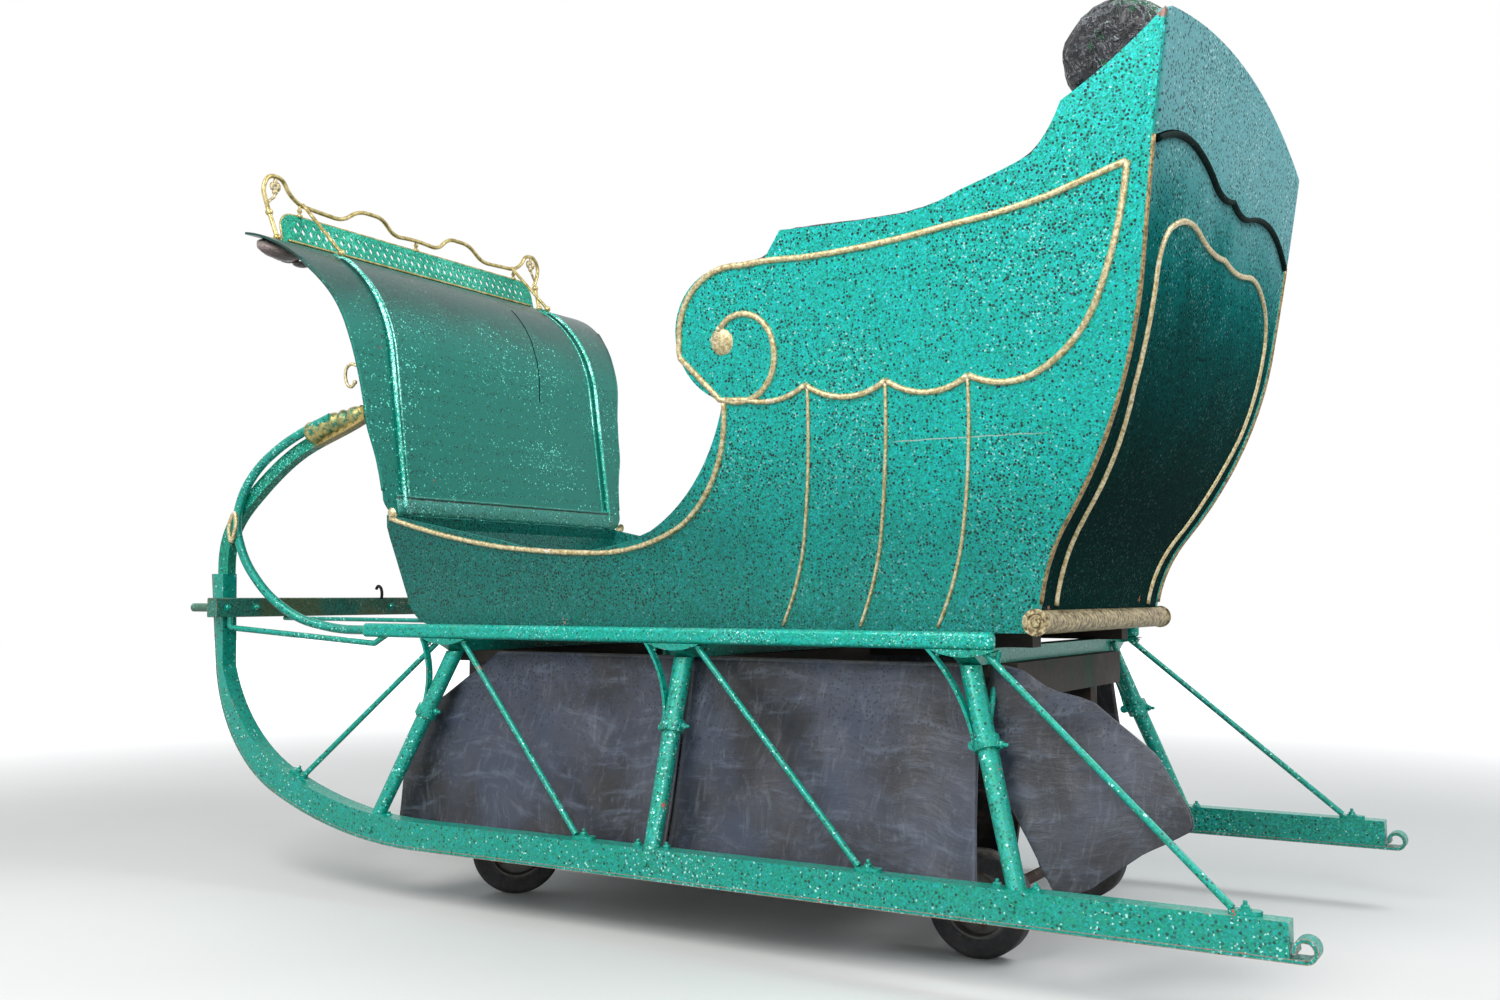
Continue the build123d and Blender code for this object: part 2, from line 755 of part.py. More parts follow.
# Upholstery, each piece a small fit from its neighbours
side_pad = 20.0
back_pad = 55.0
pad_margin = 20.0
with BuildPart() as cushion:
    with BuildSketch(Plane.XY.offset(seat_top + fit)):
        with Locations((seat_front + 5, 0)):
            Rectangle(head_x - seat_front, 2 * side_head, align=(Align.MIN, Align.CENTER))
    extrude(amount=cushion_high)
    add(between_walls(side_pad + 2 * fit, seat_top, head_height), mode=Mode.INTERSECT)
    add(inside_back(back_pad + 2 * fit), mode=Mode.INTERSECT)
    top = cushion.faces().sort_by(Axis.Z)[-1]
    fillet(top.edges(), 14)
cushion.part.label = "seat_cushion"
export_step(cushion.part, "parts/seat_cushion.step")

with BuildPart() as back_cushion:
    add(inside_back(fit))
    add(inside_back(back_pad), mode=Mode.SUBTRACT)
    with BuildSketch(Plane.XZ):
        with Locations((seat_front, seat_top + fit)):
            Rectangle(head_x - seat_front, head_height - 17 - seat_top, align=Align.MIN)
    extrude(amount=cut_half, both=True, mode=Mode.INTERSECT)
    with BuildSketch(Plane.XZ):
        with Locations((head_x - panel - fit - roll_radius - 14, head_height - 12)):
            Circle(roll_radius)
    extrude(amount=cut_half, both=True)
    add(inside_back(fit), mode=Mode.INTERSECT)
    add(between_walls(side_pad + 2 * fit, seat_top, crown_top), mode=Mode.INTERSECT)
back_cushion.part.label = "back_cushion"
export_step(back_cushion.part, "parts/back_cushion.step")

PAD_EDGE = (
    # x, rise above the body's underside, bow
    (955.0, 872.0, 0.0),
    (815.0, 778.0, 0.03),
    (745.0, 692.0, 0.0),
    (634.0, 663.0, 0.0),
    (531.0, 642.0, 0.04),
    (322.0, 645.0, 0.0),
    (290.0, 604.0, 0.0),
    (seat_front + 40, 598.0, 0.0),
    (seat_front + 10, 566.0, 0.0),
)
for side, sign in SIDES:
    with BuildPart() as arm_pad:
        add(swelled_wall(sign, panel + fit, panel + side_pad))
        with BuildSketch(Plane.XZ):
            with BuildLine():
                pad_rear, pad_front = bowed(PAD_EDGE)
                Line(pad_front, (pad_front.X, seat_top + fit))
                Line((pad_front.X, seat_top + fit), (pad_rear.X, seat_top + fit))
                Line((pad_rear.X, seat_top + fit), pad_rear)
            make_face()
        extrude(amount=cut_half, both=True, mode=Mode.INTERSECT)
        add(inside_back(fit), mode=Mode.INTERSECT)
    arm_pad.part.label = f"arm_pad_{side}"
    export_step(arm_pad.part, f"parts/arm_pad_{side}.step")

# Dash: a steel sheet that leans back from the body's front, curls forward and widens upwards
DASH_EDGE = (
    # out, rise above the body's underside, bow
    (375.0, dash_seat, 0.0),
    (405.0, 256.0, -0.12),
    (432.0, 406.0, 0.05),
    (460.0, 606.0, 0.03),
    (504.0, 754.0, 0.05),
    (526.0, 802.0, 0.03),
    (526.0, 841.0, 0.0),
)
with BuildPart() as dash:
    with BuildSketch(Plane.YZ.offset(-cut_long)):
        for out in (-rib_out, rib_out):
            with Locations((out, body_under + (dash_seat + dash_tip[1]) / 2 - 10)):
                Rectangle(rib_wide, dash_tip[1] - dash_seat - 50)
    extrude(amount=2 * cut_long)
    add(dash_wall(-rib_proud, 0), mode=Mode.INTERSECT)
    add(dash_wall(0, dash_thick))
    with BuildSketch(Plane.YZ.offset(-cut_long)):
        with BuildLine():
            low, high = bowed(DASH_EDGE)
            Line(high, (0, high.Y))
            Line((0, high.Y), (0, low.Y))
            Line((0, low.Y), low)
        make_face()
        mirror(about=Plane.YZ)
    extrude(amount=2 * cut_long, mode=Mode.INTERSECT)
dash.part.label = "dash_panel"
export_step(dash.part, "parts/dash_panel.step")

# Pierced gallery along the dash's tip: a leaning sheet with three rows of diamonds
gallery_half = 421.0
gallery_thick = 3.0
gallery_corner = 40.0
gallery_rise = 79.0
gallery_reach = 22.3
diamond_pitch = 22.4
DIAMONDS = (
    # height up the sheet, columns fewer than the longest row, width, height
    (27.5, 1, 8.8, 14.6),
    (44.7, 0, 11.0, 21.0),
    (62.3, 1, 8.8, 14.6),
)
gallery_foot = dash_end + tip_drop * dash_thick - Vector(0.1, 0)
gallery_head = gallery_foot + Vector(-gallery_reach, gallery_rise)
gallery_tall = (gallery_head - gallery_foot).length
gallery_up = Vector(-gallery_reach, 0, gallery_rise)
gallery_plane = Plane(
    origin=(gallery_foot.X, 0, gallery_foot.Y), x_dir=(0, 1, 0), z_dir=Vector(0, 1, 0).cross(gallery_up)
)
with BuildPart() as gallery:
    with BuildSketch(gallery_plane):
        with BuildLine():
            edge = gallery_half - gallery_corner
            Line((0, 0), (gallery_half, 0))
            Line((gallery_half, 0), (gallery_half, gallery_tall - gallery_corner))
            RadiusArc((gallery_half, gallery_tall - gallery_corner), (edge, gallery_tall), -gallery_corner)
            Line((edge, gallery_tall), (0, gallery_tall))
            Line((0, gallery_tall), (0, 0))
        make_face()
        mirror(about=Plane.YZ)
        longest = 2 * int(edge / diamond_pitch) + 1
        for height, fewer, wide, tall in DIAMONDS:
            with Locations((0, height)):
                with GridLocations(diamond_pitch, 1, longest - fewer, 1):
                    Polygon((-wide / 2, 0), (0, -tall / 2), (wide / 2, 0), (0, tall / 2), mode=Mode.SUBTRACT)
    extrude(amount=-gallery_thick)
gallery.part.label = "dash_gallery"
export_step(gallery.part, "parts/dash_gallery.step")

# Brass rail over the gallery: a waved rod that ends in swan necks, on turned supports
brass_radius = 5.0
stay_out = 352.0
stay_brass = 4.0
ball_place = 0.74
rail_line_x = gallery_head.X - gallery_thick / 2
gallery_top = gallery_head.Y
RAIL_WAVE = (
    # out, rise above the gallery's top edge
    (0.0, 26.0),
    (76.0, 20.0),
    (112.0, 55.0),
    (188.0, 55.0),
    (236.0, 20.0),
    (361.0, 26.0),
    (392.0, 45.0),
    (410.0, 74.0),
    (448.0, 75.0),
    (464.0, 42.0),
    (448.0, 0.0),
)
SUPPORT = (
    # radius, height, shares of the support's height
    (0.0, 0.0),
    (7.0, 0.0),
    (7.0, 0.14),
    (3.0, 0.24),
    (6.0, 0.5),
    (3.0, 0.78),
    (3.0, 1.0),
    (0.0, 1.0),
)
support_tall = RAIL_WAVE[0][1]
with BuildPart() as support_made:
    with BuildSketch(Plane.XZ):
        with BuildLine():
            Polyline(*[(radius, share * support_tall) for radius, share in SUPPORT], close=True)
        make_face()
    revolve(axis=Axis.Z)
with BuildPart() as brass:
    half = [Vector(rail_line_x, out, gallery_top + rise) for out, rise in RAIL_WAVE]
    route = [Vector(p.X, -p.Y, p.Z) for p in reversed(half[1:])] + half
    with BuildLine():
        FilletPolyline(*route, radius=bend_radii(route))
    with BuildSketch(Plane(origin=route[0], z_dir=route[1] - route[0])):
        Circle(brass_radius)
    sweep()
    for out in (-RAIL_WAVE[5][0], 0, RAIL_WAVE[5][0]):
        add(support_made.part.moved(Location((rail_line_x, out, gallery_top))))
    ball_along = dash_curl % ball_place
    ball_lift = Vector(ball_along.Y, -ball_along.X) * (rib_proud + 1.9 * stay_brass)
    ball = dash_curl @ ball_place + ball_lift
    for sign in (-1, 1):
        neck = Vector(rail_line_x, sign * RAIL_WAVE[-1][0], gallery_top)
        seat = Vector(dash_end.X + 3, sign * (RAIL_WAVE[-1][0] - 8), dash_end.Y - 4)
        with BuildSketch(Plane(origin=neck + (neck - seat) * 0.05, z_dir=seat - neck)):
            Circle(brass_radius)
        with BuildSketch(Plane(origin=seat, z_dir=seat - neck)):
            Circle(brass_radius)
        loft()
        with Locations(neck + (seat - neck) * 0.12, neck + (seat - neck) * 0.86):
            Sphere(brass_radius * 1.7)
        top = Vector(rail_line_x, sign * stay_out, gallery_top + support_tall + 4)
        foot = Vector(ball.X, sign * stay_out, ball.Y)
        with BuildSketch(Plane(origin=top, z_dir=foot - top)):
            Circle(stay_brass)
        extrude(amount=(foot - top).length)
        with Locations(foot):
            Sphere(stay_brass * 2)
    add(dash.part, mode=Mode.SUBTRACT)
    add(gallery.part, mode=Mode.SUBTRACT)
brass.part.label = "dash_rail"
export_step(brass.part, "parts/dash_rail.step")

# Roller under the back, in the corner of the sides, with a rosette at each end
rosette_thick = 4.0
ROSETTE = (
    # radius, distance past the roller's end
    (0.0, 0.0),
    (roller_radius + 2.5, 0.0),
    (roller_radius + 2.5, rosette_thick),
    (roller_radius - 5.0, rosette_thick),
    (roller_radius - 7.0, rosette_thick / 2),
    (roller_radius - 10.0, rosette_thick / 2),
    (roller_radius - 12.0, rosette_thick + 2),
    (0.0, rosette_thick + 4),
)
with BuildPart() as roller:
    with BuildSketch(Plane.XY.offset(roller_z)):
        with BuildLine():
            Polyline(*[(roller_x + radius, roller_half + out) for radius, out in ROSETTE], close=True)
        make_face()
    revolve(axis=Axis((roller_x, 0, roller_z), (0, 1, 0)))
    mirror(about=Plane.XZ)
    with BuildSketch(Plane.XZ):
        with Locations((roller_x, roller_z)):
            Circle(roller_radius)
    extrude(amount=roller_half, both=True)
roller.part.label = "rear_roller"
export_step(roller.part, "parts/rear_roller.step")

# Irons on the posts: a collar, an eyed strap up to the rail ahead of it, a saddle under the rail
# and a brace up to the beam behind
collar_rise = 201.0
collar_high = 22.0
collar_z = runner_top + collar_rise
strap_out = rail_mid + 6.5
strap_wide = 14.0
strap_thick = 5.0
eye_radius = 7.5
saddle_long = 112.0
saddle_deep = 12.0
brace_radius = 5.0
brace_out = rail_mid - 87
for side, sign in SIDES:
    with BuildPart() as irons:
        for name, step in POSTS:
            foot = Vector(post_foot_x(step), sign * post_foot_out, runner_top)
            head = Vector(post_top_x(step), sign * post_top_out, beam_under)
            share = collar_rise / (beam_under - runner_top)
            middle = foot + (head - foot) * share
            with BuildSketch(Plane(origin=middle, z_dir=head - foot)):
                Circle(post_top_radius + 3.5)
            extrude(amount=collar_high / 2, both=True)
            with BuildSketch(across(sign, strap_out - strap_wide / 2, strap_out + strap_wide / 2)[0]):
                with BuildLine():
                    start = Vector(middle.X - post_top_radius - 2.5, middle.Z - 4)
                    reach = beam_under - middle.Z
                    bow = (head.X + 0.35 * (middle.X - head.X) - 27, middle.Z + 0.7 * reach)
                    ThreePointArc(start, bow, (head.X - 60, rail_under + 2))
                trace(line_width=strap_thick)
                with Locations(start + (-3, 2)):
                    Circle(eye_radius)
            extrude(amount=strap_wide)
            with BuildSketch(across(sign, rail_mid - rail_wide / 2 + 2, rail_mid + rail_wide / 2 - 2)[0]):
                with BuildLine():
                    end = Vector(head.X + saddle_long / 2, rail_under)
                    lens = ThreePointArc(
                        end, end - (saddle_long / 2, saddle_deep), end - (saddle_long, 0)
                    )
                    Line(lens @ 1, lens @ 0)
                make_face()
            extrude(amount=rail_wide - 4)
            if step:
                rest = Vector(head.X + step * (beam_wide / 2 + brace_radius), sign * brace_out, beam_top - 8)
                with BuildSketch(Plane(origin=middle, z_dir=rest - middle)):
                    Circle(brace_radius)
                extrude(amount=(rest - middle).length)
        with BuildSketch(Plane.XY.offset(rail_under)):
            Rectangle(2 * cut_long, 2 * cut_half)
        extrude(amount=10 * strap_thick, mode=Mode.SUBTRACT)
        for name, step in POSTS:
            add(beams[name], mode=Mode.SUBTRACT)
        add(post_sets[side], mode=Mode.SUBTRACT)
        add(stay_sets[side], mode=Mode.SUBTRACT)
    irons.part.label = f"post_irons_{side}"
    export_step(irons.part, f"parts/post_irons_{side}.step")

# Front stays: rods from the crossbar back to the rails and to the body's front
stay_radius = 6.0
thin_radius = 4.5
thin_out = 330.0
thin_seat = 8.0
with BuildPart() as front_stays:
    for side, sign in SIDES:
        points = [
            Vector(crossbar_back - 7, sign * (runner_outer - 10), crossbar_under),
            Vector(crossbar_back - 7, sign * (runner_outer - 10), crossbar_under - 22),
            Vector(rail_front + 23, sign * (rail_mid + 4), rail_under - 13),
            Vector(rail_front + 51, sign * rail_mid, rail_under + 4),
        ]
        with BuildLine():
            FilletPolyline(*points, radius=[8, 8])
        with BuildSketch(Plane(origin=points[0], z_dir=points[1] - points[0])):
            Circle(stay_radius)
        sweep()
        start = Vector(crossbar_front + 6, sign * thin_out, crossbar_under - thin_radius)
        end = Vector(toe_x, sign * thin_out, body_under + thin_seat)
        with BuildSketch(Plane(origin=start, z_dir=end - start)):
            Circle(thin_radius)
        extrude(amount=(end - start).length)
    with BuildSketch(Plane.XY.offset(rail_under)):
        with Locations((rail_front + 23, -rail_mid), (rail_front + 23, rail_mid)):
            Rectangle(100, 2 * rail_wide)
    extrude(amount=rail_deep, mode=Mode.SUBTRACT)
    extrude(side_outline.sketch, amount=cut_half, both=True, mode=Mode.SUBTRACT)
    with BuildSketch(Plane.XY.offset(crossbar_under)):
        Rectangle(2 * cut_long, 2 * cut_half)
    extrude(amount=crossbar_deep, mode=Mode.SUBTRACT)
front_stays.part.label = "front_stays"
export_step(front_stays.part, "parts/front_stays.step")

# Rubber sheets and their battens, which the trolley's bolsters end inside
sheet_thick = 4.0
sheet_head_out = 349.5
sheet_slope = 0.28
batten_deep = 20.0
batten_wide = 26.0

# Trolley: a welded frame with castor outriggers, axle brackets and uprights
upright = 40.0
bolster_deep = 60.0
bolster_wide = 90.0
bolster_half = sheet_head_out - sheet_thick - batten_wide - 34.5
bolster_under = beam_under - bolster_deep
outrigger_half = castor_out + plate_wide / 2
with BuildPart() as frame:
    with BuildSketch(Plane.XY.offset(frame_under)):
        for out in (-frame_out, frame_out):
            with Locations(((frame_front + frame_rear) / 2, out)):
                Rectangle(frame_rear - frame_front, frame_wide)
        with Locations((castor_x, 0)):
            Rectangle(frame_wide, 2 * outrigger_half)
        for name, step in POSTS:
            with Locations((post_top_x(step), 0)):
                Rectangle(frame_wide, 2 * frame_out)
    extrude(amount=frame_deep)
    with BuildSketch(Plane.XY.offset(frame_top)):
        for name, step in POSTS:
            with Locations((post_top_x(step), -frame_out), (post_top_x(step), frame_out)):
                Rectangle(upright, upright)
    extrude(amount=bolster_under - frame_top)
    for out in (-frame_out, frame_out):
        with BuildSketch(Plane.XZ.offset(out - 5)):
            with BuildLine():
                Polyline(
                    (axle_x - 45, frame_under + 1),
                    (axle_x - 24, wheel_radius - 8),
                    (axle_x - 14, wheel_radius - 20),
                    (axle_x + 14, wheel_radius - 20),
                    (axle_x + 24, wheel_radius - 8),
                    (axle_x + 45, frame_under + 1),
                    close=True,
                )
            make_face()
            with Locations((axle_x, wheel_radius)):
                Circle(axle_radius, mode=Mode.SUBTRACT)
        extrude(amount=10)
frame.part.label = "trolley_frame"
export_step(frame.part, "parts/trolley_frame.step")

with BuildPart() as bolsters:
    with BuildSketch(Plane.XY.offset(bolster_under)):
        for name, step in POSTS:
            with Locations((post_top_x(step), 0)):
                Rectangle(bolster_wide, 2 * bolster_half)
    extrude(amount=bolster_deep)
bolsters.part.label = "trolley_bolsters"
export_step(bolsters.part, "parts/trolley_bolsters.step")

# Wheels: a rim with a hub and a web, and a solid tyre pressed on it
hub_half = wheel_wide / 2 + 1.5
hub_radius = axle_radius + 7
bore_radius = axle_radius + running_fit
with BuildPart() as rim_made:
    with BuildSketch(Plane.XY):
        with BuildLine():
            Polyline(
                (bore_radius, -hub_half),
                (hub_radius, -hub_half),
                (hub_radius + 2, -5),
                (rim_radius - 7, -4),
                (rim_radius - 5, -wheel_wide / 2 + 3),
                (rim_radius, -wheel_wide / 2 + 3),
                (rim_radius, wheel_wide / 2 - 3),
                (rim_radius - 5, wheel_wide / 2 - 3),
                (rim_radius - 7, 4),
                (hub_radius + 2, 5),
                (hub_radius, hub_half),
                (bore_radius, hub_half),
                close=True,
            )
        make_face()
    revolve(axis=Axis.Y)
with BuildPart() as tyre_made:
    with BuildSketch(Plane.XY):
        with Locations(((rim_radius + wheel_radius) / 2, 0)):
            Rectangle(wheel_radius - rim_radius, wheel_wide)
    revolve(axis=Axis.Y)
    fillet(tyre_made.edges().filter_by(GeomType.CIRCLE).group_by(SortBy.RADIUS)[-1], 10)

# Castor fork, made trailing along +X about its pivot, with its wheel bolt
pin_radius = 8.0
leg_in = hub_half + 6.5
leg_thick = 5.0
with BuildPart() as fork_made:
    with BuildSketch(Plane.XY.offset(crown_under)):
        Circle(leg_in + leg_thick)
        Circle(pin_radius + running_fit, mode=Mode.SUBTRACT)
    extrude(amount=crown_high)
    for out in (-leg_in - leg_thick, leg_in):
        with BuildSketch(Plane.XZ.offset(-out - leg_thick)):
            with BuildLine():
                Polyline(
                    (-14, crown_under + crown_high),
                    (castor_trail - 16, wheel_radius + 8),
                    (castor_trail - 16, wheel_radius - 14),
                    (castor_trail + 16, wheel_radius - 14),
                    (castor_trail + 16, wheel_radius + 8),
                    (20, crown_under + crown_high),
                    close=True,
                )
            make_face()
        extrude(amount=leg_thick)
    with BuildSketch(Plane.XZ):
        with Locations((castor_trail, wheel_radius)):
            Circle(axle_radius)
    extrude(amount=leg_in + leg_thick + 8, both=True)

WHEELS = (
    # which, pivot x, pivot out, trail, turn
    ("front", castor_x, castor_out, castor_trail, castor_turn),
    ("rear", axle_x, wheel_out, 0.0, 0.0),
)
for side, sign in SIDES:
    for end, x, out, trail, turn in WHEELS:
        hub = Vector(x + trail * cos(radians(turn)), sign * out + trail * sin(radians(turn)), wheel_radius)
        rim = rim_made.part.rotate(Axis.Z, turn).moved(Location(hub))
        rim.label = f"rim_{end}_{side}"
        export_step(rim, f"parts/rim_{end}_{side}.step")
        tyre = tyre_made.part.rotate(Axis.Z, turn).moved(Location(hub))
        tyre.label = f"tyre_{end}_{side}"
        export_step(tyre, f"parts/tyre_{end}_{side}.step")
    fork = fork_made.part.rotate(Axis.Z, castor_turn).moved(Location((castor_x, sign * castor_out, 0)))
    fork.label = f"castor_fork_{side}"
    export_step(fork, f"parts/castor_fork_{side}.step")

# Castor plates under the outriggers, each with its housing and kingpin
with BuildPart() as plates:
    for side, sign in SIDES:
        with BuildSketch(Plane.XY.offset(frame_under)):
            with Locations((castor_x, sign * castor_out)):
                RectangleRounded(plate_wide, plate_wide, plate_thick)
        extrude(amount=-plate_thick)
        with BuildSketch(Plane.XY.offset(frame_under - plate_thick)):
            with Locations((castor_x, sign * castor_out)):
                Circle(leg_in + 3)
        extrude(amount=-housing_deep)
        with BuildSketch(Plane.XY.offset(frame_under - plate_thick)):
            with Locations((castor_x, sign * castor_out)):
                Circle(pin_radius)
        extrude(amount=-(frame_under - plate_thick - crown_under + 1))
        with BuildSketch(Plane.XY.offset(crown_under - 1)):
            with Locations((castor_x, sign * castor_out)):
                RegularPolygon(13, 6)
        extrude(amount=-6)
plates.part.label = "castor_plates"
export_step(plates.part, "parts/castor_plates.step")

# Rear axle, through the brackets, with a collar inside each wheel and a nut outside it
axle_gap = 2.0
with BuildPart() as axle:
    with BuildSketch(Plane.XZ):
        with Locations((axle_x, wheel_radius)):
            Circle(axle_radius)
    extrude(amount=wheel_out + hub_half + axle_gap + 14, both=True)
    for sign in (-1, 1):
        for out, long in ((wheel_out - hub_half - axle_gap - 10, 10), (wheel_out + hub_half + axle_gap, 10)):
            start = -out if sign < 0 else out + long
            with BuildSketch(Plane.XZ.offset(-start)):
                with Locations((axle_x, wheel_radius)):
                    Circle(axle_radius + 6)
            extrude(amount=long)
axle.part.label = "trolley_axle"
export_step(axle.part, "parts/trolley_axle.step")

# Rubber sheets that hide the trolley, hung from a batten under the cross-beams on each side
SHEETS = (
    # rows of x and height as a share of the height of the beams
    ((-412, 1.0), (-566, 0.773), (-606, 0.541), (-591, 0.289), (-570, 0.264), (42, 0.264), (42, 1.0)),
    ((48, 1.0), (48, 0.264), (598, 0.264), (598, 1.0)),
    ((604, 1.0), (604, 0.264), (760, 0.289), (804, 0.312), (949, 0.543), (848, 0.783), (640, 1.0)),
)


def sheet_out(z, inward):
    return sheet_head_out + (beam_under - z) * sheet_slope - inward


for side, sign in SIDES:
    with BuildPart() as sheets:
        with BuildSketch(Plane.YZ.offset(-cut_long)):
            top, low = beam_under, 0.2 * beam_under
            outline = [
                (sign * sheet_out(top, 0), top),
                (sign * sheet_out(low, 0), low),
                (sign * sheet_out(low, sheet_thick), low),
                (sign * sheet_out(top, sheet_thick), top),
            ]
            Polygon(*outline, align=None)
        extrude(amount=2 * cut_long)
        with BuildPart(mode=Mode.INTERSECT):
            for outline in SHEETS:
                with BuildSketch(Plane.XZ):
                    Polygon(*[(x, share * beam_under) for x, share in outline], align=None)
                extrude(amount=cut_half, both=True)
        with BuildSketch(Plane.XZ):
            with Locations((post_top_x(1) + beam_wide / 2 - 1, 0.87 * beam_under)):
                Rectangle(28, 0.2 * beam_under, align=Align.MIN)
        extrude(amount=cut_half, both=True, mode=Mode.SUBTRACT)
    sheets.part.label = f"skirts_{side}"
    export_step(sheets.part, f"parts/skirts_{side}.step")

with BuildPart() as battens:
    for side, sign in SIDES:
        with BuildSketch(Plane.YZ.offset(post_top_x(-1) - beam_wide / 2)):
            low = beam_under - batten_deep
            Polygon(
                (sign * sheet_out(beam_under, sheet_thick), beam_under),
                (sign * sheet_out(low, sheet_thick), low),
                (sign * (sheet_out(low, sheet_thick) - batten_wide), low),
                (sign * (sheet_out(beam_under, sheet_thick) - batten_wide), beam_under),
                align=None,
            )
        extrude(amount=2 * post_top_pitch + beam_wide)
battens.part.label = "skirt_battens"
export_step(battens.part, "parts/skirt_battens.step")
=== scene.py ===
"""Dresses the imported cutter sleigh: flake paint, gilding, brass, upholstery, rubber sheets and fittings."""

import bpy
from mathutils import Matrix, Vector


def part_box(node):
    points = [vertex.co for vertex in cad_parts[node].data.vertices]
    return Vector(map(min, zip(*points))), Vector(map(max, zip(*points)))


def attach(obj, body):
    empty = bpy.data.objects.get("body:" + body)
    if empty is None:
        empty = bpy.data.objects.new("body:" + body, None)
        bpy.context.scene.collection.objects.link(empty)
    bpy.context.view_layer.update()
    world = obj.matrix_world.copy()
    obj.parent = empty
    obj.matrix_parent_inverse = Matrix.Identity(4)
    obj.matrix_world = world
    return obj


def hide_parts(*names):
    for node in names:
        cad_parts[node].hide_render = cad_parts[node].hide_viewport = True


bl_info = {
    "name": "Cutter Sleigh Dressing",
    "version": (1, 0, 0),
    "blender": (4, 5, 0),
    "location": "View3D > Sidebar > Sleigh",
    "description": "Paints, gilds, upholsters and lights a two-seat sleigh on its trolley",
    "category": "Object",
}

from math import asin, atan2, cos, hypot, pi, radians, sin

import bmesh
import bpy
from bpy.props import BoolProperty, FloatProperty, FloatVectorProperty, IntProperty, PointerProperty
from mathutils import Matrix, Vector, noise
from mathutils.bvhtree import BVHTree

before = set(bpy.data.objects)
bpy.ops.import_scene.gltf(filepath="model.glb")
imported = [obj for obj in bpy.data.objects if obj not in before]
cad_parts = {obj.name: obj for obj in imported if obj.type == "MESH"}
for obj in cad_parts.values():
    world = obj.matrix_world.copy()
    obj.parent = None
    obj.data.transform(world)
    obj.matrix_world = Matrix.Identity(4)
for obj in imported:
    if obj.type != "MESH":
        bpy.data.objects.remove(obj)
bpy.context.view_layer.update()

SIDES = (("left", -1), ("right", 1))
UP, DOWN, TO_NOSE = Vector((0, 0, 1)), Vector((0, 0, -1)), Vector((-1, 0, 0))
BODY_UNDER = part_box("body_side_left")[0].z
RUNNER_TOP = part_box("posts_left")[0].z
BEAM_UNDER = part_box("beam_front")[0].z

# Where lines that look for a face start: well outside a side, and well behind the back
BESIDE, BEHIND = 1.2, 1.6

# Each carried-over node's finish
NODE_FINISHES = (
    # start of the node's name, finish
    ("body_side", "side_paint"),
    ("back_panel", "back_paint"),
    ("front_board", "side_paint"),
    ("seat_box", "side_paint"),
    ("dash_panel", "dash_paint"),
    ("dash_gallery", "gallery_paint"),
    ("dash_bar", "bar_paint"),
    ("dash_rail", "rubbed_brass"),
    ("mouldings", "rubbed_gilding"),
    ("back_moulding", "rubbed_gilding"),
    ("rear_roller", "roller_gilding"),
    ("floor_board", "bare_boards"),
    ("floor_sills", "sooty_boards"),
    ("beam", "iron_paint"),
    ("runner", "iron_paint"),
    ("shoe", "shoe_paint"),
    ("side_rail", "rail_paint"),
    ("rail_iron", "iron_paint"),
    ("front_crossbar", "crossbar_paint"),
    ("front_stays", "iron_paint"),
    ("post", "iron_paint"),
    ("stay_rods", "iron_paint"),
    ("skirt_battens", "sooty_boards"),
    ("skirts", "dusty_sheet"),
    ("seat_cushion", "creased_cover"),
    ("back_cushion", "creased_cover"),
    ("arm_pad", "creased_cover"),
    ("trolley_bolsters", "sooty_boards"),
    ("trolley", "rusty_steel"),
    ("castor", "rusty_steel"),
    ("rim", "dusty_rim"),
    ("tyre", "dusty_tyre"),
)

# Mouldings on the sides, as width and rows of x, rise above the body's underside and bow, in mm
SIDE_BEADS = (
    (11.0, ((893, 688, 0), (776, 656, 0), (613, 634, 0.018), (345, 616, 0.017), (229, 617, -0.02),
            (94, 506, -0.22), (174, 397, -0.24), (281, 481, -0.28), (178, 516, -0.35))),
    (11.0, ((893, 688, 0), (841, 510, 0.037), (740, 402, 0.09), (623, 404, 0.12))),
    (10.5, ((623, 404, 0), (481, 407, 0.158))),
    (10.5, ((481, 407, 0), (333, 411, 0.155))),
    (10.0, ((333, 411, 0), (214, 395, 0.11), (174, 397, 0.0))),
    (10.5, ((-676, 219, 0), (-398, 156, -0.021), (-156, 140, -0.014), (38, 184, -0.055), (170, 393, -0.126))),
    (6.5, ((337, 406, 0), (234, 8, 0.042))),
    (6.5, ((480, 404, 0), (384, 8, 0.038))),
    (6.5, ((622, 400, 0), (526, 8, 0.046))),
)
# Bosses on the sides, as x, rise above the body's underside, radius and height, in metres
BOSSES = ((0.180, 0.495, 0.024, 0.009), (-0.667, 0.228, 0.012, 0.007), (0.178, 0.516, 0.0075, 0.008))
BACK_BEAD = ((270, 44, 0), (306, 191, 0.05), (370, 371, 0.03), (390, 526, -0.025), (330, 626, -0.19),
             (184, 646, -0.08), (0, 640, 0.043))
CUPIDS_BOW = ((492, 713, 0), (290, 766, -0.06), (150, 748, -0.03), (0, 744, 0.073))
REAR_OUTLINE = ((696, 0, 0), (755, 178.7, 0.082), (904, 542.4, -0.06), (956, 898, 0))

# Posts, three a side, as the x of the foot and of the head, in metres
POSTS = ((-0.605, -0.504), (0.050, 0.045), (0.705, 0.594))
POST_FOOT_OUT = 0.478
POST_HEAD_OUT = 0.375
COLLAR_SHARE = 0.628
SADDLE_UNDER = 0.509 - 0.0048
STAY_FEET = (-0.833, -0.098, 0.462, 1.030)
# The runner bends up ahead of this x, with this radius
BEND_START, BEND_RADIUS = -0.483, 0.977

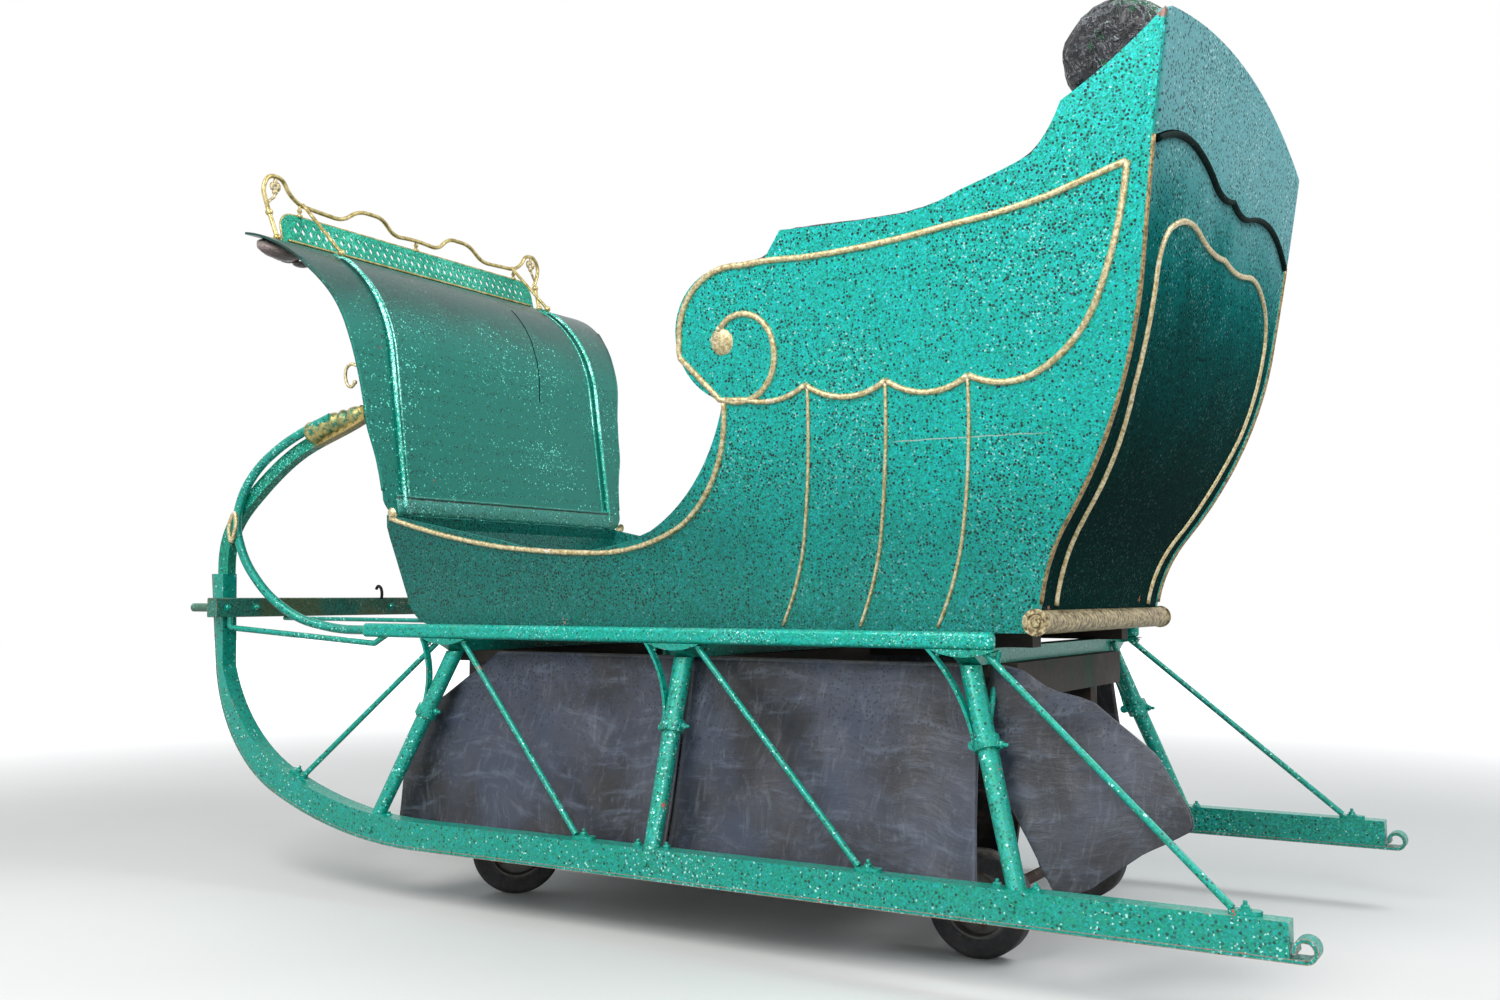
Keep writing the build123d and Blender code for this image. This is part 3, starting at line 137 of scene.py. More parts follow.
# Small gold pieces, as rows of x, distance out and height in metres. The stem and the balls count from the gallery
HOOK = ((-0.722, 0.428, 1.062), (-0.736, 0.433, 1.070), (-0.748, 0.436, 1.074), (-0.760, 0.438, 1.066),
        (-0.763, 0.438, 1.05), (-0.758, 0.437, 1.032), (-0.747, 0.436, 1.026), (-0.738, 0.435, 1.033))
HOOK_TIP = (-0.738, 0.435, 1.035)
LEAF = ((-1.026, 0.503, 0.708), (-1.014, 0.505, 0.728), (-1.010, 0.505, 0.748), (-1.016, 0.504, 0.769),
        (-1.028, 0.505, 0.752), (-1.032, 0.505, 0.730))
STEM = ((0.0, 0.442, 0.020), (0.002, 0.434, 0.028), (0.0, 0.430, 0.040))
STEM_FOOT = (0.0, 0.449, 0.012)
# The last two values are a ball's radius and how tall it is drawn
STEM_BALLS = ((0.000, 0.430, 0.040, 0.0075, 1.0), (-0.001, 0.421, 0.053, 0.0065, 1.6),
              (0.001, 0.439, 0.051, 0.006, 1.5), (0.000, 0.430, 0.062, 0.0055, 1.9))
SLEEVE = ((-0.846, 0.4595, 0.927), (-0.818, 0.4545, 0.939), (-0.790, 0.4480, 0.950), (-0.762, 0.4400, 0.958),
          (-0.736, 0.4330, 0.966), (-0.716, 0.4290, 0.974))
CROSSBAR_HOOK = ((-1.032, -0.065, 0.586), (-1.031, -0.065, 0.600), (-1.034, -0.066, 0.612),
                 (-1.042, -0.067, 0.616), (-1.048, -0.067, 0.609))
LIP_BALLS = ((-0.940, 0.445, 1.316), (-0.926, 0.42, 1.309))

# Rubber sheets, as x at the front and rear edge at each height, in metres
SHEETS = (
    ("front", ((0.484, -0.412, 0.042), (0.374, -0.566, 0.042), (0.262, -0.606, 0.042),
               (0.140, -0.591, 0.042), (0.128, -0.570, 0.042))),
    ("middle", ((0.484, 0.048, 0.598), (0.305, 0.048, 0.609), (0.233, 0.048, 0.615), (0.128, 0.048, 0.626))),
    ("rear", ((0.484, 0.628, 0.640), (0.477, 0.622, 0.672), (0.448, 0.616, 0.719), (0.435, 0.614, 0.784),
              (0.407, 0.612, 0.821), (0.359, 0.614, 0.888), (0.283, 0.657, 0.941), (0.259, 0.675, 0.947),
              (0.236, 0.691, 0.908), (0.221, 0.702, 0.878), (0.165, 0.739, 0.803), (0.150, 0.748, 0.770))),
)
# The sheets' plane: how far out it is at its top, how it spreads for each metre down, and the rubber's thickness
SHEET_OUT, SHEET_TOP, SHEET_SPREAD, SHEET_THICK = 0.3491, 0.484, 0.28, 0.0036

CLOTH_FRAMES = 20
FLOAT, COLOUR, VECTOR = "NodeSocketFloat", "NodeSocketColor", "NodeSocketVector"


# Small tools for nodes
def srgb(text):
    """A colour written as six hex digits, as linear values for a shader."""
    values = []
    for at in (0, 2, 4):
        share = int(text[at : at + 2], 16) / 255
        values.append(share / 12.92 if share <= 0.04045 else ((share + 0.055) / 1.055) ** 2.4)
    return (*values, 1.0)


class NodeSheet:
    """A node tree being filled: it makes a node, sets its plain values and links the rest."""

    def __init__(self, tree):
        self.tree = tree

    def put(self, kind, inputs=None, **settings):
        node = self.tree.nodes.new(kind)
        for name, value in settings.items():
            setattr(node, name, value)
        self.fill(node.inputs, inputs or {})
        return node

    def fill(self, sockets, values):
        for name, value in values.items():
            self.feed(sockets[name], value)

    def feed(self, socket, value):
        """Links a socket or sets its value. A text is a colour's six hex digits."""
        if isinstance(value, bpy.types.NodeSocket):
            self.tree.links.new(value, socket)
        else:
            socket.default_value = srgb(value) if isinstance(value, str) else value

    def math(self, operation, first, second=0.5, clamp=False):
        return self.put("ShaderNodeMath", {0: first, 1: second}, operation=operation, use_clamp=clamp).outputs[0]

    def plus(self, first, second, clamp=False):
        return self.math("ADD", first, second, clamp)

    def minus(self, first, second):
        return self.math("SUBTRACT", first, second)

    def times(self, first, second, clamp=False):
        return self.math("MULTIPLY", first, second, clamp)

    def larger(self, first, second):
        return self.math("MAXIMUM", first, second)

    def vector(self, operation, first, second=None):
        node = self.put("ShaderNodeVectorMath", {0: first}, operation=operation)
        if second is not None:
            self.feed(node.inputs["Scale" if operation == "SCALE" else 1], second)
        return node.outputs["Value" if operation in ("DOT_PRODUCT", "DISTANCE", "LENGTH") else "Vector"]

    def ramp(self, value, low, high, start=0.0, end=1.0):
        names = {"Value": value, "From Min": low, "From Max": high, "To Min": start, "To Max": end}
        return self.put("ShaderNodeMapRange", names, interpolation_type="SMOOTHSTEP").outputs[0]

    def mix(self, share, first, second, blend="MIX"):
        sockets = {0: share, 6: first, 7: second}
        return self.put("ShaderNodeMix", sockets, data_type="RGBA", blend_type=blend).outputs[2]

    def place(self):
        return self.put("ShaderNodeTexCoord").outputs["Object"]

    def facing(self):
        return self.put("ShaderNodeNewGeometry").outputs["Normal"]

    def axes(self, vector):
        return self.put("ShaderNodeSeparateXYZ", {"Vector": vector}).outputs

    def picks(self, colour):
        """Three values from a pattern's colour, each as good as drawn by lot."""
        return self.put("ShaderNodeSeparateColor", {"Color": colour}).outputs

    def grain(self, place, scale, detail=4.0, rough=0.6, part="Fac"):
        names = {"Vector": place, "Scale": scale, "Detail": detail, "Roughness": rough}
        return self.put("ShaderNodeTexNoise", names).outputs[part]

    def ragged(self, level, size, *grain):
        """A level made uneven by grain."""
        return self.plus(level, self.times(self.grain(*grain), size))

    def cells(self, place, scale, feature="F1"):
        return self.put("ShaderNodeTexVoronoi", {"Vector": place, "Scale": scale}, feature=feature).outputs

    def specks(self, place, scale, share, rim, core):
        """Small spots in a share of a pattern's cells."""
        cells = self.cells(place, scale)
        chosen = self.math("LESS_THAN", self.picks(cells["Color"])[0], share)
        return self.times(chosen, self.ramp(cells["Distance"], rim, core))

    def bump(self, height, distance, strength, **more):
        names = {"Height": height, "Distance": distance, "Strength": strength, **more}
        return self.put("ShaderNodeBump", names).outputs[0]

    def use(self, name, **values):
        """The named node group placed here with its own values, made first where it is new."""
        if name not in bpy.data.node_groups:
            GROUP_MAKERS[name]()
        node = self.put("ShaderNodeGroup", node_tree=bpy.data.node_groups[name])
        self.fill(node.inputs, {label.replace("_", " ").title(): value for label, value in values.items()})
        return node.outputs

    def wear(self, reach, amount, grain_scale):
        return self.use("Edge Wear", reach=reach, amount=amount, grain_scale=grain_scale)["Mask"]

    def dusted(self, colour, powder, amount, scale):
        """Where dust lies, and the colour with the dust on it."""
        dust = self.use("Settled Dust", amount=amount, scale=scale)["Mask"]
        return dust, self.mix(dust, colour, powder)


def new_group(name, inputs, outputs):
    """A new shader node group: the sheet to fill, what is given to it and what it gives out."""
    tree = bpy.data.node_groups.new(name, "ShaderNodeTree")
    sheet = NodeSheet(tree)
    for label, value in inputs.items():
        kind = {str: COLOUR, float: FLOAT, tuple: VECTOR}[type(value)]
        sheet.feed(tree.interface.new_socket(label, in_out="INPUT", socket_type=kind), value)
    for label, kind in outputs.items():
        tree.interface.new_socket(label, in_out="OUTPUT", socket_type=kind)
    return sheet, sheet.put("NodeGroupInput").outputs, sheet.put("NodeGroupOutput").inputs


def make_flake_group():
    """Glitter paint: dark dots and pale sparks over flakes that lie at slightly different angles. The sparks are
    painted glints.
    """
    sheet, given, out = new_group(
        "Glitter Flake",
        {
            "Body Colour": "34B9AE",
            "Dot Colour": "00362E",
            "Spark Colour": "9CF5EC",
            "Dot Scale": 190.0,
            "Dot Share": 0.5,
            "Spark Share": 0.05,
            "Tilt": 0.3,
            "Contrast": 1.0,
        },
        {"Color": COLOUR, "Roughness": FLOAT, "Dots": FLOAT, "Normal": VECTOR},
    )
    place = sheet.place()
    wide, patch = sheet.grain(place, 2.6, 3.0), sheet.grain(place, 5.2, 2.0)
    dots = sheet.cells(place, given["Dot Scale"])
    flakes = sheet.cells(place, sheet.times(given["Dot Scale"], 2.2))
    dot_pick, flake_pick = sheet.picks(dots["Color"]), sheet.picks(flakes["Color"])
    share = sheet.times(given["Dot Share"], sheet.ramp(wide, 0.34, 0.66, 0.5, 1.4))
    size = sheet.ramp(dot_pick[1], 0.0, 1.0, 0.27, 0.45)
    inside = sheet.ramp(sheet.minus(size, dots["Distance"]), -0.02, 0.08)
    dark = sheet.times(sheet.math("LESS_THAN", dot_pick[0], share), inside)
    dark = sheet.times(dark, sheet.ramp(dot_pick[2], 0.0, 1.0, 0.6, 1.0))
    # Painted glints: a share of the flakes, larger in patches and kept off the dots, takes the pale spark colour.
    bright = sheet.times(given["Spark Share"], sheet.ramp(patch, 0.42, 0.68, 0.35, 3.0))
    spark = sheet.math("GREATER_THAN", flake_pick[1], sheet.minus(1.0, bright))
    spark = sheet.times(spark, sheet.minus(1.0, dark))
    apart = sheet.times(sheet.minus(flake_pick[0], 0.5), 0.95)
    names = {
        "Color": given["Body Colour"],
        "Value": sheet.plus(sheet.times(apart, given["Contrast"]), 1.0),
        "Hue": sheet.ramp(flake_pick[2], 0.0, 1.0, 0.472, 0.524),
        "Saturation": 1.1,
    }
    body = sheet.put("ShaderNodeHueSaturation", names).outputs[0]
    leaning = sheet.vector("SCALE", sheet.vector("SUBTRACT", flakes["Color"], (0.5, 0.5, 0.5)), given["Tilt"])
    sheet.fill(out, {
        "Color": sheet.mix(spark, sheet.mix(dark, body, given["Dot Colour"]), given["Spark Colour"]),
        "Roughness": sheet.ramp(spark, 0.0, 1.0, 0.46, 0.2),
        "Dots": dark,
        "Normal": sheet.vector("NORMALIZE", sheet.vector("ADD", sheet.facing(), leaning)),
    })


def make_wear_group():
    """Wear along edges, broken up by grain."""
    inputs = {"Reach": 0.004, "Amount": 0.5, "Grain Scale": 60.0}
    sheet, given, out = new_group("Edge Wear", inputs, {"Mask": FLOAT})
    place = sheet.place()
    rounded_off = sheet.put("ShaderNodeBevel", {"Radius": given["Reach"]}, samples=4).outputs[0]
    edge = sheet.ramp(sheet.vector("DOT_PRODUCT", rounded_off, sheet.facing()), 0.97, 0.75)
    fine = sheet.grain(place, given["Grain Scale"], 6.0)
    lift = sheet.ragged(fine, 0.8, place, sheet.times(given["Grain Scale"], 0.16), 3.0)
    limit = sheet.ramp(given["Amount"], 0.0, 1.0, 1.5, 0.6)
    sheet.feed(out["Mask"], sheet.times(edge, sheet.ramp(sheet.minus(lift, limit), 0.0, 0.06), clamp=True))


def make_chip_group():
    """Small chips scattered over a face."""
    sheet, given, out = new_group("Paint Chips", {"Scale": 30.0, "Share": 0.06}, {"Mask": FLOAT})
    place = sheet.place()
    warp = sheet.grain(place, 170.0, 3.0, part="Color")
    moved = sheet.put("ShaderNodeMixRGB", {"Fac": 0.03, "Color1": place, "Color2": warp}).outputs[0]
    spots = sheet.cells(moved, given["Scale"])
    pick = sheet.picks(spots["Color"])
    size = sheet.ramp(pick[1], 0.0, 1.0, 0.03, 0.16)
    inside = sheet.ramp(sheet.minus(size, spots["Distance"]), 0.0, 0.02)
    sheet.feed(out["Mask"], sheet.times(sheet.math("LESS_THAN", pick[0], given["Share"]), inside))


def make_dust_group():
    """Dust that settles on faces that look up, and drifts of it elsewhere."""
    sheet, given, out = new_group("Settled Dust", {"Amount": 0.3, "Scale": 9.0}, {"Mask": FLOAT})
    lying = sheet.ramp(sheet.axes(sheet.facing())["Z"], 0.2, 1.0, 0.25, 1.0)
    drift = sheet.ramp(sheet.grain(sheet.place(), given["Scale"], 7.0, 0.65), 0.38, 0.68)
    sheet.feed(out["Mask"], sheet.times(sheet.times(lying, drift), given["Amount"], clamp=True))


def make_streak_group():
    """Long brush streaks and scuffs, for rubber and bare boards."""
    inputs = {"Scale": 40.0, "Stretch": (0.1, 1.0, 1.0)}
    sheet, given, out = new_group("Streaks", inputs, {"Mask": FLOAT, "Height": FLOAT})
    place = sheet.place()
    sway = sheet.vector("SCALE", sheet.grain(place, 3.0, 2.0, part="Color"), 0.16)
    pulled = sheet.vector("MULTIPLY", sheet.vector("ADD", place, sway), given["Stretch"])
    lines = sheet.grain(pulled, given["Scale"], 6.0, 0.7)
    sheet.fill(out, {"Mask": sheet.ramp(lines, 0.5, 0.72), "Height": lines})


GROUP_MAKERS = {
    "Glitter Flake": make_flake_group,
    "Edge Wear": make_wear_group,
    "Paint Chips": make_chip_group,
    "Settled Dust": make_dust_group,
    "Streaks": make_streak_group,
}


def new_finish(name):
    """A material with a bare Principled BSDF: the sheet to fill, the shader's inputs and the place on the piece."""
    material = bpy.data.materials.new(name)
    material.use_nodes = True
    sheet = NodeSheet(material.node_tree)
    return sheet, material.node_tree.nodes["Principled BSDF"].inputs, sheet.place()


def flake_paint(name, body, dot, spark, dots, sparks, scale, bare="C8A884", under_tint="B8646A", wear=0.4,
                chips=0.05, dust=0.15, metal=0.25, tilt=0.3, coat=0.2, gloss=0.35, matt=0.0, contrast=1.0,
                tint=None, extra=None):
    """Glitter paint with painted glints (the sparks), worn edges, chips and dust. extra changes the colour under the
    dots once more.
    """
    sheet, skin, place = new_finish(name)
    flake = sheet.use("Glitter Flake", body_colour=body, dot_colour=dot, spark_colour=spark, dot_scale=scale,
                      dot_share=dots, spark_share=sparks, tilt=tilt, contrast=contrast)
    colour = flake["Color"]
    if tint:
        cloud = sheet.ramp(sheet.grain(place, 9.0, 5.0), 0.42, 0.62)
        colour = sheet.mix(sheet.times(cloud, 0.55), colour, tint)
    if extra:
        colour = sheet.mix(sheet.times(flake["Dots"], 0.8), extra(sheet, place, colour), dot)
    chip = sheet.use("Paint Chips", scale=26.0, share=chips)["Mask"]
    lost = sheet.larger(sheet.wear(0.0035, wear, 75.0), chip)
    colour = sheet.mix(lost, colour, sheet.mix(sheet.grain(place, 35.0), bare, under_tint))
    settled, colour = sheet.dusted(colour, "9AA39E", dust, 11.0)
    whole = sheet.minus(1.0, sheet.larger(lost, settled))
    rough = sheet.plus(flake["Roughness"], sheet.times(lost, 0.35), clamp=True)
    rough = sheet.plus(rough, matt, clamp=True)
    lumps = sheet.minus(sheet.grain(place, 28.0, 3.0), sheet.times(lost, 0.6))
    for socket, amount in (("Metallic", metal), ("Coat Weight", coat)):
        if amount:
            sheet.feed(skin[socket], sheet.times(whole, amount))
    sheet.fill(skin, {
        "Base Color": colour,
        "Roughness": sheet.plus(rough, sheet.times(settled, 0.5), clamp=True),
        "Coat Roughness": 0.2,
        "Specular IOR Level": gloss,
        "Normal": sheet.bump(lumps, 0.0012, 0.5, Normal=flake["Normal"]),
    })


def side_crack(sheet, place, colour):
    """A hairline crack across the swell of the side, with a pale lip."""
    axes = sheet.axes(place)
    line = sheet.ragged(axes[2], 0.006, place, 22.0, 5.0)
    thin = sheet.ramp(sheet.math("ABSOLUTE", sheet.minus(line, 0.8465)), 0.0014, 0.0003)
    length = sheet.times(sheet.ramp(axes[0], 0.47, 0.50), sheet.ramp(axes[0], 0.76, 0.70))
    return sheet.mix(sheet.times(thin, length), colour, "A8C8BC")


def side_wear_and_shade(sheet, place, colour):
    """Bare wood at the top tip, a red bruise, and painted shade that darkens the paint towards the foot and the front,
    under the crack.
    """
    axes = sheet.axes(place)
    # Painted shade: the paint darkens towards the foot and the front.
    along = sheet.ragged(sheet.plus(axes[2], sheet.times(axes[0], 0.28)), 0.25, place, 3.5, 4.0)
    dark = sheet.mix(1.0, colour, "7E9C98", "MULTIPLY")
    tip = sheet.ragged(axes[2], 0.04, place, 45.0, 5.0)
    wood = sheet.mix(sheet.grain(place, 110.0), "6A4038", "D8A898")
    colour = sheet.mix(sheet.ramp(tip, 1.438, 1.444), colour, wood)
    bruise = sheet.ragged(sheet.vector("DISTANCE", place, (0.556, -0.515, 1.189)), 0.05, place, 60.0, 5.0)
    colour = sheet.mix(sheet.ramp(bruise, 0.043, 0.038), colour, "D0584C")
    return side_crack(sheet, place, sheet.mix(sheet.ramp(along, 1.22, 0.62), colour, dark))


def back_sheen_and_shade(sheet, place, colour):
    """A pale blue painted sheen over the head board, and painted shade that darkens the paint down to the roller."""
    level = sheet.ragged(sheet.axes(place)[2], 0.22, place, 6.0, 5.0)
    # Painted sheen at the top, then two layers of painted shade down to the roller.
    for start, end, share, tone, blend in (
        (1.20, 1.48, 0.62, "A6CCDA", "SCREEN"),
        (1.42, 1.10, 1.0, "5C9A98", "MULTIPLY"),
        (1.26, 0.86, 1.0, "488886", "MULTIPLY"),
    ):
        colour = sheet.mix(sheet.ramp(level, start, end), colour, sheet.mix(share, colour, tone, blend))
    return colour


def dash_shade(sheet, place, colour):
    """Painted shade that darkens the dash towards its curl, grimy rubbed patches, and painted glints: bright specks
    below it.
    """
    level = sheet.ragged(sheet.axes(place)[2], 0.18, place, 7.0, 6.0, 0.65)
    # Painted shade: darker towards the curl.
    colour = sheet.mix(sheet.ramp(level, 1.20, 1.40), colour, sheet.mix(0.8, colour, "16302E"))
    colour = sheet.mix(sheet.ramp(sheet.grain(place, 13.0, 3.0), 0.70, 0.74, 0.0, 0.8), colour, "3A332E")
    # Painted glints: crowds of bright specks below the curl.
    crowd = sheet.ramp(sheet.grain(place, 4.2, 2.0), 0.50, 0.66, 0.0, 0.24)
    lit = sheet.times(sheet.specks(place, 150.0, crowd, 0.34, 0.26), sheet.ramp(level, 1.36, 1.28))
    return sheet.mix(lit, colour, "7CFBE6")


def gilt_end(sheet, place, colour):
    """Lumpy gold over the last of the bar, where it meets the dash."""
    along = sheet.ragged(sheet.axes(place)[0], 0.05, place, 60.0, 4.0)
    gold = sheet.mix(sheet.grain(place, 120.0), "7A6A34", "D8C070")
    return sheet.mix(sheet.ramp(along, -0.815, -0.795), colour, gold)


def gilding(name, bright, deep, ground, worn, rough=0.38, lumps=0.0008, scale=170.0):
    """Rough gold paint, rubbed to its ground in places."""
    sheet, skin, place = new_finish(name)
    fine = sheet.grain(place, scale, 5.0, 0.7)
    rubbed = sheet.ramp(sheet.plus(sheet.grain(place, 24.0, 4.0), sheet.times(fine, 0.5)), 0.88, 0.98)
    lost = sheet.larger(sheet.wear(0.003, worn, 120.0), sheet.times(rubbed, worn))
    sheet.fill(skin, {
        "Base Color": sheet.mix(lost, sheet.mix(sheet.ramp(fine, 0.35, 0.65), deep, bright), ground),
        "Metallic": sheet.ramp(lost, 0.0, 1.0, 0.6, 0.0),
        "Roughness": sheet.ramp(fine, 0.2, 0.8, rough - 0.08, rough + 0.2),
        "Normal": sheet.bump(fine, lumps, 0.8),
    })


def sheet_rubber(name):
    """Blue-black rubber, dusty, with scuffs and brush streaks."""
    sheet, skin, place = new_finish(name)
    broad = sheet.grain(place, 4.5, 6.0, 0.62)
    streak = sheet.use("Streaks", scale=26.0, stretch=(0.35, 1.0, 1.6))
    cross = sheet.use("Streaks", scale=90.0, stretch=(1.0, 1.0, 0.12))
    colour = sheet.mix(sheet.ramp(broad, 0.36, 0.64), "12151B", "363E50")
    colour = sheet.mix(sheet.times(streak["Mask"], 0.26), colour, "8A96AC")
    colour = sheet.mix(sheet.times(cross["Mask"], 0.16), colour, "A2AAB8")
    pepper = sheet.specks(place, 170.0, sheet.ramp(sheet.axes(place)[2], 0.30, 0.44, 0.0, 0.45), 0.5, 0.3)
    colour = sheet.mix(sheet.times(pepper, 0.7), colour, "0A0C10")
    sheet.fill(skin, {
        "Base Color": sheet.dusted(colour, "77726B", 0.35, 14.0)[1],
        "Roughness": sheet.ramp(broad, 0.3, 0.7, 0.3, 0.5),
        "Normal": sheet.bump(sheet.plus(streak["Height"], sheet.times(cross["Height"], 0.4)), 0.002, 0.5),
    })


def cover(name, axis=None):
    """Creased cover with a foil-like shine, black with green and silver; the silver streaks are partly the foil's own
    and partly painted highlights. axis bends the pleats round a roll.
    """
    sheet, skin, place = new_finish(name)
    crease = sheet.cells(place, 26.0, "SMOOTH_F1")["Distance"]
    fold, fine = sheet.grain(place, 16.0, 6.0, 0.68), sheet.grain(place, 140.0, 4.0)
    names = {"Vector": place, "Scale": 24.0, "Detail": 5.0, "Distortion": 1.8}
    swirl = sheet.put("ShaderNodeTexNoise", names).outputs["Fac"]
    middle = sheet.math("ABSOLUTE", sheet.minus(swirl, 0.5))
    line = sheet.times(sheet.ramp(middle, 0.04, 0.004), sheet.ramp(fine, 0.40, 0.60))
    if axis:
        names = {"Vector": sheet.vector("SUBTRACT", place, axis), "Scale": 13.0, "Distortion": 16.0,
                 "Detail": 4.0, "Detail Scale": 1.3, "Detail Roughness": 0.62}
        rings = sheet.put("ShaderNodeTexWave", names, wave_type="RINGS", rings_direction="Y").outputs["Fac"]
        # Painted highlights: silver along the pleats, near the top of the roll only.
        high = sheet.ramp(sheet.axes(place)[2], 1.28, 1.34)
        broken = sheet.times(sheet.ramp(fold, 0.40, 0.56, 0.15, 1.0), high)
        pleat = sheet.times(sheet.ramp(rings, 0.62, 0.98), broken)
        line = sheet.larger(line, sheet.times(pleat, 0.5))
    colour = sheet.mix(sheet.ramp(fold, 0.54, 0.62), "14161C", "14603C")
    lift = sheet.plus(sheet.plus(crease, sheet.times(line, 0.5)), sheet.times(swirl, 0.9))
    # The silver mixed into the colour is partly the foil's own and partly painted highlight.
    sheet.fill(skin, {
        "Base Color": sheet.mix(sheet.times(line, 0.62), colour, "B4BAC2"),
        "Metallic": sheet.ramp(line, 0.0, 1.0, 0.15, 0.7),
        "Roughness": sheet.ramp(fine, 0.3, 0.7, 0.14, 0.36),
        "Normal": sheet.bump(lift, 0.012, 0.85),
    })


def boards(name, deep, pale, dusty):
    """Bare boards with grain, dirt and a little overspray."""
    sheet, skin, place = new_finish(name)
    streaks = sheet.use("Streaks", scale=70.0, stretch=(0.06, 1.0, 1.0))["Height"]
    broad = sheet.grain(place, 6.0)
    colour = sheet.mix(sheet.ramp(broad, 0.5, 0.7, 0.0, 0.6), sheet.mix(streaks, deep, pale), "1F4A3E")
    sheet.fill(skin, {
        "Base Color": sheet.dusted(colour, "8F877A", dusty, 8.0)[1],
        "Roughness": sheet.ramp(broad, 0.2, 0.8, 0.6, 0.85),
        "Normal": sheet.bump(streaks, 0.0015, 0.6),
    })


def steel(name, clean, rust, rust_share, rough):
    """Old steel with rust blooms, scale and dust."""
    sheet, skin, place = new_finish(name)
    bloom, fine = sheet.grain(place, 18.0, 8.0, 0.7), sheet.grain(place, 190.0, 5.0)
    rusted = sheet.ramp(bloom, 0.66 - 0.4 * rust_share, 0.78 - 0.4 * rust_share)
    colour = sheet.mix(rusted, clean, sheet.mix(fine, "24140E", rust))
    dust, colour = sheet.dusted(colour, "857D72", 0.5, 20.0)
    sheet.fill(skin, {
        "Base Color": colour,
        "Metallic": sheet.times(sheet.minus(1.0, sheet.larger(rusted, dust)), 0.6),
        "Roughness": sheet.ramp(bloom, 0.3, 0.8, rough, 0.9),
        "Normal": sheet.bump(fine, 0.0008, 0.6),
    })


def tyre_rubber(name):
    """Dusty solid rubber, rubbed grey on its tread."""
    sheet, skin, place = new_finish(name)
    broad = sheet.grain(place, 30.0, 7.0, 0.7)
    colour = sheet.mix(sheet.ramp(broad, 0.4, 0.65), "191A1C", "46454A")
    colour = sheet.mix(sheet.times(sheet.wear(0.008, 0.7, 50.0), 0.6), colour, "77736E")
    sheet.fill(skin, {
        "Base Color": sheet.dusted(colour, "8A8378", 0.7, 25.0)[1],
        "Roughness": sheet.ramp(broad, 0.3, 0.7, 0.62, 0.85),
        "Normal": sheet.bump(sheet.grain(place, 260.0, 3.0), 0.0006, 0.6),
    })


# Glitter paints: colours of the paint, dots and sparks (painted glints), share of dots and of sparks, how much
# finer the dots are than the body's, and what differs from flake_paint's own values
FLAKE_PAINTS = (
    # Back paint: its extra paints a pale sheen on the head board and shade down to the roller.
    ("back_paint", "2A9C9A", "001A18", "B5ECEA", 0.95, 0.03, 0.85,
     {"wear": 0.35, "chips": 0.04, "dust": 0.0, "coat": 0.0, "gloss": 0.02, "matt": 0.3, "metal": 0.0,
      "tilt": 0.1, "contrast": 0.7, "extra": back_sheen_and_shade}),
    # Near-black paint: painted shadow under the head board's edge, and the dash's dark seam.
    ("board_edge_paint", "07201E", "010A09", "1D5A54", 0.6, 0.01, 1.0,
     {"wear": 0.1, "chips": 0.0, "dust": 0.0, "coat": 0.0, "metal": 0.0, "gloss": 0.08, "matt": 0.3}),
    ("dash_paint", "1C7F72", "05302A", "74F5DE", 0.2, 0.02, 1.15,
     {"bare": "6A5650", "wear": 0.35, "chips": 0.03, "dust": 0.03, "tilt": 0.05, "coat": 0.3, "gloss": 0.25,
      "contrast": 0.25, "extra": dash_shade}),
    # Painted highlights: a paler body than the dash and many sparks along the rib beads.
    ("rib_paint", "22A28C", "05302A", "A6FFF0", 0.1, 0.3, 1.2,
     {"wear": 0.3, "chips": 0.0, "dust": 0.0, "coat": 0.6, "metal": 0.5}),
    ("lap_paint", "3E8A7E", "123832", "8CF0E4", 0.25, 0.04, 1.0,
     {"bare": "4A2C34", "wear": 0.95, "chips": 0.3, "dust": 0.2, "contrast": 0.5}),
    ("gallery_paint", "1C9A80", "064A3C", "66F0D0", 0.2, 0.08, 1.0,
     {"bare": "C8B068", "wear": 0.3, "chips": 0.0, "dust": 0.05, "metal": 0.5}),
    ("bar_paint", "24967F", "053A30", "7FF0DC", 0.25, 0.04, 1.0, {"wear": 0.35, "extra": gilt_end}),
    ("iron_paint", "2BA392", "045044", "B4FFF2", 0.36, 0.022, 0.9,
     {"bare": "D4645A", "wear": 0.5, "chips": 0.12, "dust": 0.12, "contrast": 0.5, "coat": 0.4,
      "under_tint": "E06A5E"}),
    ("rail_paint", "2FB2A2", "045044", "A4FBEE", 0.35, 0.035, 1.0,
     {"bare": "CDB08C", "wear": 0.8, "chips": 0.1, "dust": 0.2, "contrast": 0.6}),
    ("shoe_paint", "2C9C8E", "045044", "8CF0E4", 0.3, 0.05, 1.0,
     {"bare": "D88A80", "wear": 0.85, "chips": 0.35, "dust": 0.2, "contrast": 0.6, "under_tint": "E06A5E"}),
    ("crossbar_paint", "3A7D70", "0A332B", "8CC8B4", 0.3, 0.03, 1.0,
     {"wear": 0.6, "chips": 0.12, "dust": 0.35, "tint": "7E7440"}),
    ("lip_paint", "8A7C7A", "3E3634", "B0A49E", 0.5, 0.01, 1.0,
     {"bare": "5A4A40", "wear": 0.4, "chips": 0.1, "dust": 0.3, "metal": 0.0, "contrast": 0.6}),
)
